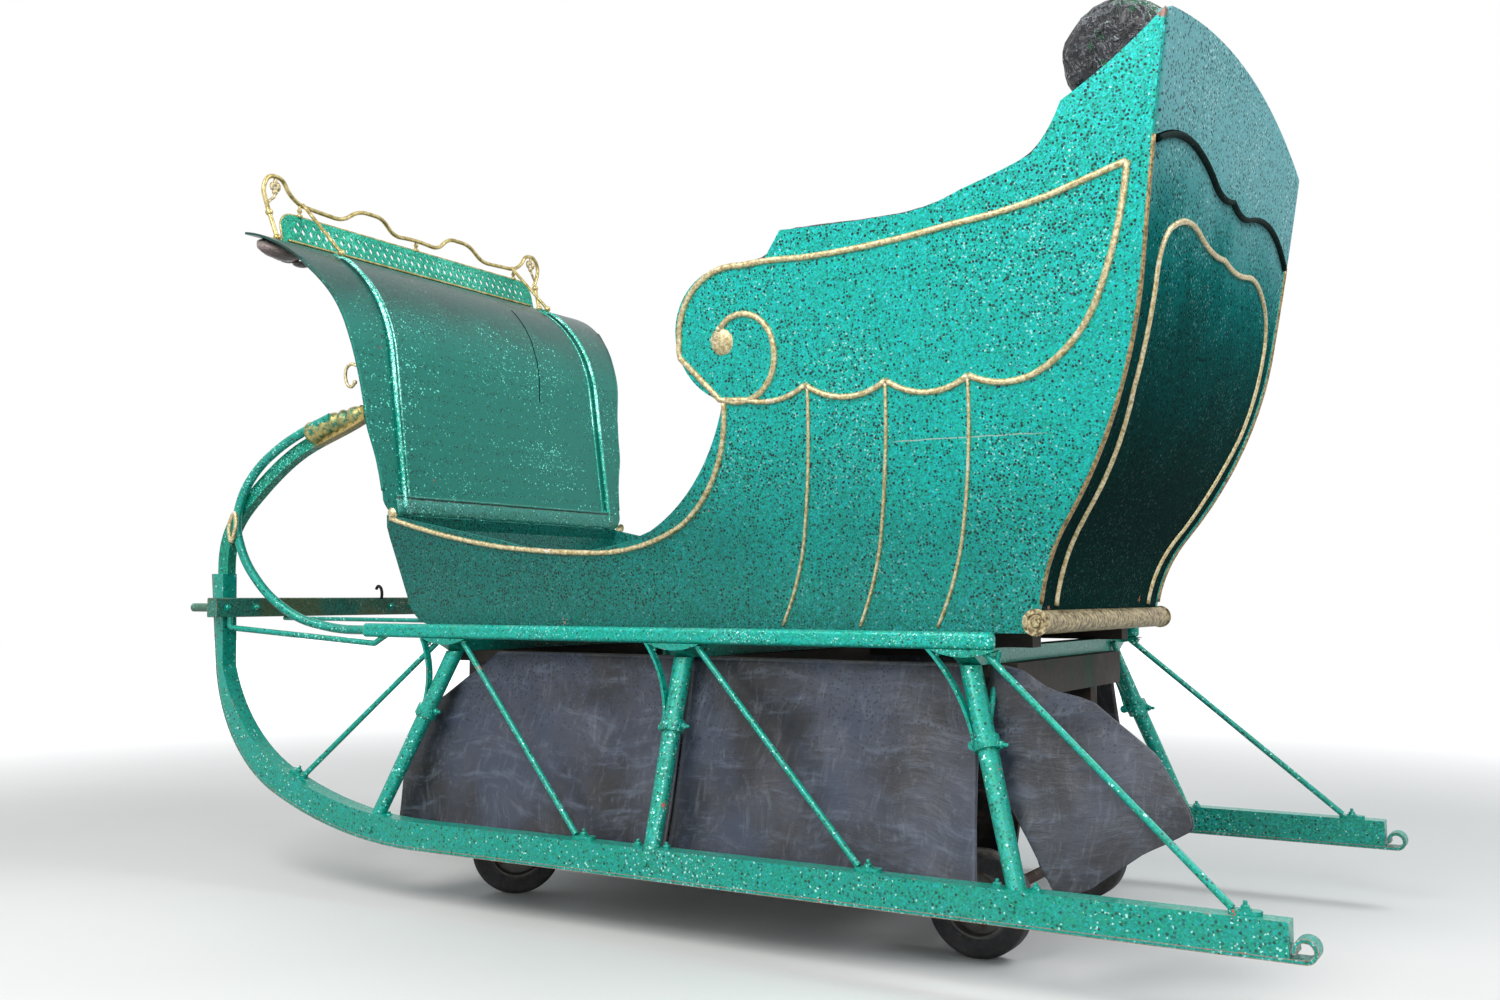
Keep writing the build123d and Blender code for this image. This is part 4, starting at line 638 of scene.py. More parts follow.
# The other finishes: what makes it, its name and its values
FINISHES = (
    (gilding, "corner_gilding", "BCA070", "5E5238", "3E8A7C", 0.6),
    (gilding, "roller_gilding", "D4C49A", "54432A", "8C9080", 0.4, 0.42, 0.004, 110.0),
    (gilding, "sleeve_gilding", "C8B46E", "2F6E58", "2E8A76", 0.8, 0.28, 0.003, 70.0),
    (gilding, "rubbed_brass", "DCCB92", "A39052", "5C6A44", 0.3, 0.22, 0.0002, 60.0),
    (sheet_rubber, "dusty_sheet"),
    (cover, "creased_cover"),
    (cover, "pleated_foil", (0.862, 0.0, 1.408)),
    (boards, "bare_boards", "4A3524", "8A6B4A", 0.6),
    # Near-black boards for the sills, the skirt battens and the trolley's bolsters under the body.
    (boards, "sooty_boards", "15110F", "2E251D", 0.25),
    (steel, "rusty_steel", "1A1918", "3A2217", 0.5, 0.55),
    (steel, "dusty_rim", "5E5E5C", "6E4630", 0.35, 0.45),
    (tyre_rubber, "dusty_tyre"),
)


def make_finishes(paint):
    """Every material of the sleigh, the body's own in the picked colours."""
    scale = 1.0 / paint.dot_pitch
    picked = [(*tone, 1.0) for tone in (paint.body_colour, paint.dot_colour, paint.spark_colour)]
    # Side paint: its extra adds painted shade towards the foot and the front, besides real wear.
    flake_paint("side_paint", *picked, 0.8, 0.02, scale, wear=0.35, chips=0.03, dust=0.05, contrast=0.75,
                extra=side_wear_and_shade)
    for *values, finer, changes in FLAKE_PAINTS:
        flake_paint(*values, scale * finer, **changes)
    gilding("rubbed_gilding", (*paint.gold_colour, 1.0), "A48E5C", "F8F3E6", 0.7)
    for maker, *values in FINISHES:
        maker(*values)


# Small tools for shapes
def make_piece(name, mesh, material, smooth=True):
    """An object from a bmesh, finished and riding on the sleigh."""
    bmesh.ops.recalc_face_normals(mesh, faces=mesh.faces)
    for face in mesh.faces:
        face.smooth = smooth
    data = bpy.data.meshes.new(name)
    mesh.to_mesh(data)
    mesh.free()
    data.materials.append(bpy.data.materials[material])
    piece = bpy.data.objects.new(name, data)
    bpy.context.scene.collection.objects.link(piece)
    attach(piece, "sleigh")
    return piece


def node_tree_of(name):
    """A carried-over node's faces, for finding where a line meets them."""
    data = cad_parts[name].data
    return BVHTree.FromPolygons([v.co.copy() for v in data.vertices], [list(p.vertices) for p in data.polygons])


def on_face(tree, start, way):
    """Where a line from start meets a node's faces, and the normal there, or None."""
    spot, normal = tree.ray_cast(start, way)[:2]
    return None if spot is None else (spot, normal if normal.dot(way) < 0 else -normal)


def laid(tree, starts, way):
    """Where lines from several starts meet a node's faces, and the normals there. Lines that miss are left out."""
    hits = [hit for hit in (on_face(tree, start, way) for start in starts) if hit]
    return [hit[0] for hit in hits], [hit[1] for hit in hits]


def laid_on_side(tree, sign, points):
    """Points of x and height carried onto the swelled side, with the side's normal at each."""
    return laid(tree, [Vector((p.x, sign * BESIDE, p.y)) for p in points], Vector((0, -sign, 0)))


def spread(start, end, count):
    """Values at even steps from start to end."""
    return [start + (end - start) * i / count for i in range(count + 1)]


def circle(count):
    """The cosine and sine of each step round a circle."""
    return [(cos(2 * pi * i / count), sin(2 * pi * i / count)) for i in range(count)]


def handed(rows, sign, origin=(0.0, 0.0, 0.0)):
    """Rows of x, distance out and height as points on one side, counted from an origin."""
    return [Vector((origin[0] + x, sign * (origin[1] + y), origin[2] + z)) for x, y, z in rows]


def smoothed(points, times):
    """Points drawn towards their neighbours a few times, with the ends held."""
    for _ in range(times):
        between = [(a + b * 2 + c) / 4 for a, b, c in zip(points, points[1:], points[2:])]
        points = [points[0], *between, points[-1]]
    return points


def row_points(rows, step=0.009):
    """Points along rows of place, rise and bow in mm, as metres above the floor."""
    points = [Vector((rows[0][0] / 1000, BODY_UNDER + rows[0][1] / 1000))]
    for place, rise, bow in rows[1:]:
        start, end = points[-1], Vector((place / 1000, BODY_UNDER + rise / 1000))
        chord = end - start
        count = max(2, round(chord.length / step))
        if not bow:
            points += [start.lerp(end, i / count) for i in range(1, count + 1)]
            continue
        ahead = chord / chord.length
        outward = Vector((-ahead.y, ahead.x)) * (1 if bow > 0 else -1)
        high = abs(bow) * chord.length
        radius = (chord.length**2 / 4 + high**2) / (2 * high)
        centre = (start + end) / 2 + outward * (high - radius)
        half = asin(min(1.0, chord.length / 2 / radius))
        points += [centre + outward * radius * cos(a) + ahead * radius * sin(a) for a in spread(-half, half, count)[1:]]
    return points


def join_rings(mesh, rings, closed=True):
    """Faces between rings of corners and, where closed, over both ends."""
    for low, high in zip(rings, rings[1:]):
        for i in range(len(low)):
            j = (i + 1) % len(low)
            mesh.faces.new((low[i], low[j], high[j], high[i]))
    if closed:
        mesh.faces.new(rings[0])
        mesh.faces.new(rings[-1])


def sweep(mesh, points, ups, section, swell=None):
    """Adds a bar that follows points, its section given as distances beside and above the line."""
    rings = []
    for i, point in enumerate(points):
        ahead = points[min(i + 1, len(points) - 1)] - points[max(i - 1, 0)]
        beside = ahead.cross(ups[i]).normalized()
        above = beside.cross(ahead).normalized()
        size = swell(i) if swell else 1.0
        rings.append([mesh.verts.new(point + beside * a * size + above * b * size) for a, b in section])
    join_rings(mesh, rings)


def bead_section(wide, proud, sunk=0.0015):
    """Half a flattened round, with its flat below the face that it lies on."""
    arch = [(-cos(a) * wide / 2, sin(a) * proud) for a in spread(0.0, pi, 8)]
    return [*arch, (wide / 2, -sunk), (-wide / 2, -sunk)]


def uneven(seed, share):
    """A hand-made unevenness along a bar."""
    return lambda i: 1.0 + share * noise.noise(Vector((i * 0.6, seed, 3.1)))


def add_rod(mesh, points, radius, sides, swell=None):
    """A round rod through points, its sides kept from twisting."""
    ups = []
    up = Vector((0.31, 0.17, 0.94))
    for i in range(len(points)):
        ahead = (points[min(i + 1, len(points) - 1)] - points[max(i - 1, 0)]).normalized()
        up = (up - ahead * up.dot(ahead)).normalized()
        ups.append(up)
    sweep(mesh, points, ups, [(radius * a, radius * b) for a, b in circle(sides)], swell)


def rounded(points, steps, closed=False):
    """A smooth path through a few points."""
    if closed:
        ends = [points[-1], *points, points[0], points[1]]
    else:
        ends = [points[0] * 2 - points[1], *points, points[-1] * 2 - points[-2]]
    path = []
    for a, b, c, d in zip(ends, ends[1:], ends[2:], ends[3:]):
        for i in range(steps):
            t = i / steps
            bend = (2 * a - 5 * b + 4 * c - d) * t * t + (3 * b - a - 3 * c + d) * t**3
            path.append(0.5 * (2 * b + (c - a) * t + bend))
    path.append(ends[-2].copy())
    return path


def add_ball(mesh, centre, radius, squash=(1, 1, 1)):
    place = Matrix.Translation(centre) @ Matrix.Diagonal((*squash, 1))
    bmesh.ops.create_icosphere(mesh, subdivisions=3, radius=radius, matrix=place)


def add_bolt(mesh, foot, along, radius, high, washer=0.0, shank=0.0, sides=6):
    """A nut or bolt head that stands on a face, with a washer and the shank's end where it has them."""
    along = along.normalized()
    up = UP if abs(along.z) < 0.9 else Vector((1, 0, 0))
    side = along.cross(up).normalized()
    over = side.cross(along)
    # Rows of size against the radius, rise above the face and corners round
    parts = [((1.0, 0.001, sides), (1.0, high * 0.75, sides), (0.82, high, sides), (0.3, high, sides))]
    if washer:
        parts.insert(0, ((washer, -0.001, 20), (washer, 0.0012, 20), (0.8, 0.0012, 20)))
    if shank:
        parts.append(((0.48, high * 0.5, 12), (0.48, high + shank * 0.8, 12), (0.36, high + shank, 12)))
    for part in parts:
        join_rings(mesh, [
            [mesh.verts.new(foot + along * rise + (side * a + over * b) * radius * size) for a, b in circle(count)]
            for size, rise, count in part
        ])


def apply_modifier(piece, kind, **settings):
    modifier = piece.modifiers.new(kind.lower(), kind)
    for name, value in settings.items():
        setattr(modifier, name, value)
    bpy.ops.object.modifier_apply(modifier=modifier.name)


def a_colour(name, description, default):
    return FloatVectorProperty(name=name, description=description, subtype="COLOR", default=default, min=0, max=1)


def a_length(name, description, default, low, high):
    return FloatProperty(name=name, description=description, subtype="DISTANCE", default=default, min=low, max=high)


class SleighPaint(bpy.types.PropertyGroup):
    """Colours and scale of the paint and gilding."""

    body_colour: a_colour("Body", "Glitter paint of the body", srgb("2CB8AE")[:3])
    dot_colour: a_colour("Dots", "Dark dots between the flakes", srgb("002A26")[:3])
    # The sparks are painted glints on the flakes.
    spark_colour: a_colour("Sparks", "Flakes that catch the light", srgb("9CF2EA")[:3])
    gold_colour: a_colour("Gold", "Gold paint of the mouldings", srgb("E8DDB6")[:3])
    dot_pitch: a_length("Dot pitch", "Distance between dots", 0.0056, 0.001, 0.05)


class SleighShapes(bpy.types.PropertyGroup):
    """Sizes of the pieces that the dressing adds."""

    bead_proud: a_length("Bead height", "How far the side mouldings stand out", 0.0055, 0.001, 0.02)
    corner_radius: a_length("Corner bead", "Radius of the gold beads on the body's corners", 0.0045, 0.001, 0.02)
    wire_radius: a_length("Gallery wire", "Radius of the gold wires along the gallery", 0.003, 0.0005, 0.01)
    bolt_radius: a_length("Bolt", "Radius of the bolt heads", 0.0065, 0.002, 0.02)
    ripple: a_length("Sheet ripple", "How far the rubber sheets dent inwards", 0.02, 0.0, 0.04)
    pleats: IntProperty(name="Pleats", description="Pleats across the back cushion's roll", default=44, min=4,
                        max=90)
    pad_swell: a_length("Pad swell", "How far a cushion may swell from its foam", 0.022, 0.0, 0.04)
    puffed: BoolProperty(name="Simulate pads", description="Swell the seat pads with a cloth simulation",
                         default=True)


class SleighStudio(bpy.types.PropertyGroup):
    """The floor, the lamps and the camera."""

    key_power: FloatProperty(name="Key lamp", description="Power of the large lamp on the left",
                             subtype="POWER", default=120.0, min=0)
    fill_power: FloatProperty(name="Fill lamp", description="Power of the lamp over the rear", subtype="POWER",
                              default=70.0, min=0)
    daylight: FloatProperty(name="Daylight", description="Strength of the light from all round", default=0.42,
                            min=0)
    floor_colour: a_colour("Floor", "Colour of the floor", (0.86, 0.86, 0.85))
    focal: FloatProperty(name="Focal length", description="Camera's focal length in mm on a 36 mm frame",
                         default=33.6, min=10)


class SLEIGH_OT_finish_nodes(bpy.types.Operator):
    """Gives every carried-over part its finish"""

    bl_idname = "sleigh.finish_nodes"
    bl_label = "Paint the Parts"

    def execute(self, context):
        make_finishes(context.scene.sleigh_paint)
        for name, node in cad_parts.items():
            fitting = [finish for start, finish in NODE_FINISHES if name.startswith(start)]
            if not fitting:
                raise RuntimeError(f"no finish is named for {name}")
            node.data.materials.clear()
            node.data.materials.append(bpy.data.materials[fitting[0]])
        return {"FINISHED"}


class SLEIGH_OT_side_mouldings(bpy.types.Operator):
    """Lays half-round gold mouldings and bosses on the swelled sides"""

    bl_idname = "sleigh.side_mouldings"
    bl_label = "Lay Side Mouldings"

    def execute(self, context):
        proud = context.scene.sleigh_shapes.bead_proud
        for side, sign in SIDES:
            tree = node_tree_of(f"body_side_{side}")
            mesh = bmesh.new()
            for number, (wide, rows) in enumerate(SIDE_BEADS):
                section = bead_section(wide / 1000, proud if wide > 8 else proud * 0.75)
                sweep(mesh, *laid_on_side(tree, sign, row_points(rows)), section, uneven(number * 3.7 + sign, 0.08))
            for x, rise, radius, high in BOSSES:
                self.add_boss(mesh, tree, sign, x, BODY_UNDER + rise, radius, high)
            piece = make_piece(f"gold_mouldings_{side}", mesh, "rubbed_gilding")
            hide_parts(f"mouldings_{side}")
        return {"FINISHED"}

    def add_boss(self, mesh, tree, sign, x, z, radius, high):
        """A lumpy dome on the side."""
        way = Vector((0, -sign, 0))
        base, lean = on_face(tree, Vector((x, sign * BESIDE, z - radius * 1.8)), way)
        rings = []
        for share in spread(0.0, 1.0, 6):
            ring = []
            for a, b in circle(28):
                size = radius * share * (1 + 0.04 * noise.noise(Vector((a * 2, b * 2, x))))
                at = Vector((x + size * a, sign * BESIDE, z + size * b))
                hit = on_face(tree, at, way)
                if hit is None:
                    fall = (lean.x * (at.x - base.x) + lean.z * (at.z - base.z)) / lean.y
                    hit = Vector((at.x, base.y - fall, at.z)), lean
                rise = high * cos(share * pi / 2) ** 0.6 + 0.0011 * noise.noise(at * 160) - 0.0012
                ring.append(mesh.verts.new(hit[0] + hit[1] * rise))
                if share == 0.0:
                    break
            rings.append(ring)
        for i in range(28):
            mesh.faces.new((rings[0][0], rings[1][i], rings[1][(i + 1) % 28]))
        join_rings(mesh, rings[1:], closed=False)


class SLEIGH_OT_back_mouldings(bpy.types.Operator):
    """Lays the gold frame, a near-black bead of painted shadow along the edge of the head board, and the gold corner
    beads of the body
    """

    bl_idname = "sleigh.back_mouldings"
    bl_label = "Lay Back Mouldings"

    def execute(self, context):
        radius = context.scene.sleigh_shapes.corner_radius
        piece = self.lay_across("gold_back_frame", BACK_BEAD, 0.0, bead_section(0.010, 0.0055), uneven(8.8, 0.08),
                                "rubbed_gilding", "gold_trim")
        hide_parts("back_moulding")
        # The head board's edge: a near-black bead that is painted shadow under the proud board.
        self.lay_across("head_board_shadow_bead", CUPIDS_BOW, 0.003, bead_section(0.011, 0.0085), uneven(2.2, 0.04),
                        "board_edge_paint", "glitter_wood")
        self.add_corners("gold_corner_beads", 0.725, 0.004, (0.0045, 0.0045), radius, 10, 0.08,
                         "corner_gilding", "gold_trim")
        self.add_corners("rounded_corners", 0.880, 0.008, (-0.0005, 0.0085), 0.0098, 16, 0.0,
                         "side_paint", "glitter_wood")
        return {"FINISHED"}

    def lay_across(self, name, rows, drop, section, swell, material, slot):
        """A moulding on the rear of the back panel, the same on both halves."""
        half = row_points(rows)
        line = half + [Vector((-p.x, p.y)) for p in reversed(half[:-1])]
        starts = [Vector((BEHIND, p.x, p.y - drop)) for p in line]
        mesh = bmesh.new()
        sweep(mesh, *laid(node_tree_of("back_panel"), starts, TO_NOSE), section, swell)
        return make_piece(name, mesh, material)

    def add_corners(self, name, top, inside, shift, radius, sides, share, material, slot):
        """A rod down each rear corner, shifted back and in from where a line inside the edge meets the side."""
        outline = [p for p in row_points(REAR_OUTLINE, 0.012) if 0.040 < p.y - BODY_UNDER < top]
        mesh = bmesh.new()
        for side, sign in SIDES:
            starts = [Vector((p.x - inside, p.y)) for p in outline]
            spots = laid_on_side(node_tree_of(f"body_side_{side}"), sign, starts)[0]
            points = [spot + Vector((shift[0], -sign * shift[1], 0)) for spot in spots]
            add_rod(mesh, points, radius, sides, uneven(5.5 * sign, share))
        make_piece(name, mesh, material)


class SLEIGH_OT_dash_trim(bpy.types.Operator):
    """Adds the gallery's wires, the dash's rolled lip, lap strip and seam, and the small gold hooks and leaves"""

    bl_idname = "sleigh.dash_trim"
    bl_label = "Trim the Dash"

    def execute(self, context):
        self.add_wires(context.scene.sleigh_shapes.wire_radius)
        self.add_ribs()
        self.add_ornaments()
        self.add_lip_pads()
        mesh = bmesh.new()
        add_rod(mesh, rounded(handed(CROSSBAR_HOOK, 1), 5), 0.0036, 10)
        make_piece("crossbar_hook", mesh, "rusty_steel")
        return {"FINISHED"}

    def add_wires(self, radius):
        """A wire along the gallery's foot, and one round its ends and top."""
        low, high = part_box("dash_gallery")
        corner, edge, tall = 0.038, high.y, high.z - low.z
        tree, panel_tree = node_tree_of("dash_gallery"), node_tree_of("dash_panel")
        foot = []
        for y in spread(0.014 - edge, edge - 0.014, 60):
            floor = on_face(panel_tree, Vector((high.x + 0.003, y, high.z)), DOWN)
            level = max(low.z + 0.014, floor[0].z + radius * 0.6 if floor else 0.0)
            face = on_face(tree, Vector((0.0, y, level)), TO_NOSE)
            foot.append(Vector(((face[0].x if face else high.x) + radius * 0.6, y, level)))

        def at(y, share):
            return Vector((high.x - 0.003 + (low.x - high.x + 0.004) * share, y, low.z + tall * share))

        bent = [at(edge - corner + corner * sin(a), (tall - corner + corner * cos(a)) / tall)
                for a in spread(pi / 2, 0.0, 8)]
        top = [at(y, 1.0) for y in spread(edge - corner, corner - edge, 60)]
        other = [Vector((p.x, -p.y, p.z)) for p in reversed(bent)]
        mesh = bmesh.new()
        add_rod(mesh, smoothed(foot, 3), radius, 8, uneven(1.0, 0.12))
        around = [at(edge, 0.1), *bent, *top[1:-1], *other, at(-edge, 0.1)]
        add_rod(mesh, around, radius * 0.8, 8, uneven(2.0, 0.12))
        make_piece("gallery_wires", mesh, "rubbed_brass")

    def add_ribs(self):
        """A bead on each rib and a thin strip beside it, a lap strip at the foot, a seam and rolled side edges."""
        tree = node_tree_of("dash_panel")
        low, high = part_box("dash_panel")
        mesh = bmesh.new()
        for sign in (-1, 1):
            for out, wide, proud, sunk in ((0.352, 0.009, 0.0105, 0.004), (0.334, 0.005, 0.002, 0.0)):
                spots, normals = self.down_dash(tree, sign * out, low.z + 0.012, high.z - 0.024)
                spots = [spot - normal * sunk for spot, normal in zip(spots, normals)]
                sweep(mesh, spots, normals, bead_section(wide, proud))
        # The rib beads' paint is paler, with painted highlights.
        make_piece("dash_rib_beads", mesh, "rib_paint")
        mesh = bmesh.new()
        for level, wide, proud in ((low.z + 0.020, 0.036, 0.0035), (low.z + 0.040, 0.007, 0.0045)):
            starts = [Vector((0.0, y, level)) for y in spread(-0.372, 0.372, 60)]
            sweep(mesh, *laid(tree, starts, TO_NOSE), bead_section(wide, proud), uneven(level, 0.2))
        make_piece("dash_lap_strip", mesh, "lap_paint")
        mesh = bmesh.new()
        spots, normals = self.down_dash(tree, 0.13, 1.06, 1.30)
        spots = [p + Vector((0, 0.03 * (p.z - 1.06) / 0.24 + 0.003 * noise.noise(p * 30), 0)) for p in spots]
        sweep(mesh, spots, normals, bead_section(0.003, 0.0012), uneven(9.0, 0.3))
        make_piece("dash_seam", mesh, "board_edge_paint")
        mesh = bmesh.new()
        for sign in (-1, 1):
            edges = [self.edge_at(tree, sign, z) for z in spread(low.z + 0.05, high.z - 0.07, 60)]
            points = smoothed([edge for edge in edges if edge is not None], 6)
            add_rod(mesh, points, 0.0042, 8, uneven(sign * 4.0, 0.1))
        make_piece("dash_edge_rolls", mesh, "dash_paint")

    def edge_at(self, tree, sign, z):
        """The outer edge of the dash at a height: the last place where a level line still meets it."""
        near, far = 0.30, 0.56
        spot = None
        for _ in range(14):
            middle = (near + far) / 2
            hit = on_face(tree, Vector((0.0, sign * middle, z)), TO_NOSE)
            if hit:
                near, spot = middle, hit[0]
            else:
                far = middle
        return None if spot is None else spot + Vector((-0.0025, 0, 0))

    def down_dash(self, tree, y, bottom, top):
        return laid(tree, [Vector((0.0, y, z)) for z in spread(bottom, top, 60)], TO_NOSE)

    def add_ornaments(self):
        """Gold hooks, leaves and stems with their balls, and the gilt sleeves on the bars."""
        low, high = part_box("dash_gallery")
        crown = (low.x + 0.0015, 0.0, high.z)
        mesh = bmesh.new()
        for _, sign in SIDES:
            add_rod(mesh, rounded(handed(HOOK, sign), 5), 0.0034, 10)
            add_ball(mesh, *handed([HOOK_TIP], sign), 0.0048)
            add_rod(mesh, rounded(handed(LEAF, sign), 6, closed=True), 0.0046, 10, uneven(sign * 6.0, 0.15))
            for *place, radius, stretch in STEM_BALLS:
                add_ball(mesh, *handed([place], sign, crown), radius, (0.7, 1.0, stretch))
            add_rod(mesh, rounded(handed(STEM, sign, crown), 5), 0.0034, 8)
            add_rod(mesh, rounded(handed([STEM_FOOT, STEM[0]], sign, crown), 4), 0.0034, 8)
        make_piece("gold_hooks_and_leaves", mesh, "rubbed_gilding")
        mesh = bmesh.new()
        for sign in (-1, 1):
            path = rounded(handed(SLEEVE, sign), 6)

            def lumpy(i, sign=sign, count=len(path)):
                taper = (1.25 - 0.5 * i / count) * min(1.0, 0.55 + i * 0.2)
                return taper + 0.22 * noise.noise(Vector((i * 0.45, sign * 2.7, 1.0)))

            add_rod(mesh, path, 0.0195, 18, lumpy)
        make_piece("bar_sleeves", mesh, "sleeve_gilding")

    def add_lip_pads(self):
        """A soft pad at each end of the dash's lip, with its two studs."""
        out, wide, deep = 0.470, 0.053, 0.021
        mesh = bmesh.new()
        low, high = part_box("dash_panel")
        tree = node_tree_of("dash_panel")
        for sign in (-1, 1):
            rings = []
            for share in spread(0.0, 1.0, 24):
                x = low.x + 0.001 + 0.088 * share
                hit = on_face(tree, Vector((x, sign * out, 0.9)), UP)
                z = hit[0].z if hit else high.z - 0.01
                fat = sin(pi * min(1.0, share * 0.96 + 0.02)) ** 0.55
                ring = []
                for a, b in circle(20):
                    size = fat * (1 + 0.07 * noise.noise(Vector((x * 60, a * 2, b * 2))))
                    y = sign * (out + wide * size * a)
                    ring.append(mesh.verts.new((x, y, z + 0.002 - deep * size * (1 - b))))
                rings.append(ring)
            join_rings(mesh, rings)
            for stud in handed(LIP_BALLS, sign):
                add_ball(mesh, stud, 0.011, (1.4, 1.8, 0.6))
        make_piece("dash_lip_pads", mesh, "lip_paint")


class SLEIGH_OT_fittings(bpy.types.Operator):
    """Adds nuts and bolt heads to the posts, the runners, the feet of the stays and the crossbar"""

    bl_idname = "sleigh.fittings"
    bl_label = "Add Bolts"

    def execute(self, context):
        radius = context.scene.sleigh_shapes.bolt_radius
        low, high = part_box("front_crossbar")
        middle = (low.z + high.z) / 2
        for side, sign in SIDES:
            out = Vector((0, sign, 0))
            mesh = bmesh.new()
            for foot_x, head_x in POSTS:
                foot = Vector((foot_x, sign * POST_FOOT_OUT, RUNNER_TOP))
                head = Vector((head_x, sign * POST_HEAD_OUT, BEAM_UNDER))
                collar = foot.lerp(head, COLLAR_SHARE)
                for turn, rise, shank in ((1, 0.007, 0.008), (-1, 0.004, 0.0)):
                    way = Vector((turn, 0, 0))
                    add_bolt(mesh, collar + way * 0.0205, way, radius, rise, 1.35, shank)
                add_bolt(mesh, collar + out * 0.0205, out, radius * 0.8, 0.004, sides=12)
                for shift in (-0.030, 0.030):
                    add_bolt(mesh, foot + Vector((shift, 0, 0)), UP, radius, 0.006, 1.3, 0.005)
                for shift in (-0.046, 0.046):
                    place = Vector((head_x + shift, sign * 0.400, SADDLE_UNDER))
                    add_bolt(mesh, place, DOWN, radius * 0.85, 0.005, 1.25, 0.004)
                place = Vector((foot_x, sign * 0.5, RUNNER_TOP - 0.024))
                add_bolt(mesh, place, out, radius * 0.9, 0.003, sides=14)
            for x in STAY_FEET:
                place, way = self.foot_seat(x, sign)
                add_bolt(mesh, place, way, radius, 0.006, 1.35, 0.006)
            for y in (0.503, 0.429, 0.033):
                place = Vector((high.x, sign * y, middle))
                add_bolt(mesh, place, Vector((1, 0, 0)), radius, 0.006, 1.3, 0.006)
            make_piece(f"bolts_{side}", mesh, "iron_paint", smooth=False)
        return {"FINISHED"}

    def foot_seat(self, x, sign):
        """The top of a stay's foot, and the way it faces."""
        slope = asin((BEND_START - x) / BEND_RADIUS) if x < BEND_START else 0.0
        way = Vector((sin(slope), 0, cos(slope)))
        z = RUNNER_TOP + BEND_RADIUS * (1 - cos(slope)) + 0.0062
        return Vector((x, sign * POST_FOOT_OUT, z)) + way * 0.0003, way


class SLEIGH_OT_hang_sheets(bpy.types.Operator):
    """Hangs the dented rubber sheets that hide the trolley"""

    bl_idname = "sleigh.hang_sheets"
    bl_label = "Hang Rubber Sheets"

    def execute(self, context):
        ripple = context.scene.sleigh_shapes.ripple
        for side, sign in SIDES:
            for label, rows in SHEETS:
                if side == "right" and label == "rear":
                    # The photo shows the far rear post and stay with no sheet behind or before them
                    continue
                mesh, area, size = self.cut_sheet(sign, rows, ripple)
                piece = make_piece(f"rubber_{label}_{side}", mesh, "dusty_sheet")
                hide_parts(f"skirts_{side}")
        return {"FINISHED"}

    def cut_sheet(self, sign, rows, ripple):
        """One sheet as a grid of two faces, dented between its posts, with its cut area and size."""
        top, low = rows[0][0], rows[-1][0]
        slant = hypot(1.0, SHEET_SPREAD)
        count_z, count_x = 44, 72
        mesh = bmesh.new()
        outer, inner = [], []
        widths = []
        for share in spread(0.0, 1.0, count_z):
            z = top + (low - top) * share
            front, rear = self.edges_at(rows, z)
            widths.append(rear - front)
            for depth, layer in ((0.0, outer), (SHEET_THICK, inner)):
                line = []
                for x in spread(front, rear, count_x):
                    out = SHEET_OUT + (SHEET_TOP - z) * SHEET_SPREAD - depth - self.dent(x, z, sign, share, ripple)
                    line.append(mesh.verts.new((x, sign * out, z)))
                layer.append(line)
        for i in range(count_z):
            for j in range(count_x):
                for layer in (outer, inner):
                    mesh.faces.new((layer[i][j], layer[i][j + 1], layer[i + 1][j + 1], layer[i + 1][j]))
            for j in (0, count_x):
                mesh.faces.new((outer[i][j], outer[i + 1][j], inner[i + 1][j], inner[i][j]))
        for j in range(count_x):
            for i in (0, count_z):
                mesh.faces.new((outer[i][j], outer[i][j + 1], inner[i][j + 1], inner[i][j]))
        area = sum((a + b) / 2 for a, b in zip(widths, widths[1:])) * (top - low) / count_z * slant
        wide = max(row[2] for row in rows) - min(row[1] for row in rows)
        return mesh, area, (wide, (top - low) * slant)

    def edges_at(self, rows, z):
        """Where a sheet's front and rear edge are at a height."""
        for (z0, f0, r0), (z1, f1, r1) in zip(rows, rows[1:]):
            if z1 <= z <= z0 + 1e-9:
                t = (z0 - z) / (z0 - z1)
                return f0 + (f1 - f0) * t, r0 + (r1 - r0) * t
        return rows[-1][1:]

    def dent(self, x, z, sign, share, ripple):
        """How far the sheet stands in from its plane: held at the top and dented by noise further down."""
        loose = min(1.0, share * 3.5) * (0.55 + 0.45 * sin(min(1.0, share) * pi * 0.6))
        broad = noise.noise(Vector((x * 4.2, sign * 3.0, z * 5.0))) * 0.5 + 0.5
        fold = noise.noise(Vector((x * 11.0 + z * 5.0, sign * 7.0, z * 4.0))) * 0.5 + 0.5
        return loose * ripple * (0.62 * broad + 0.38 * fold * fold)


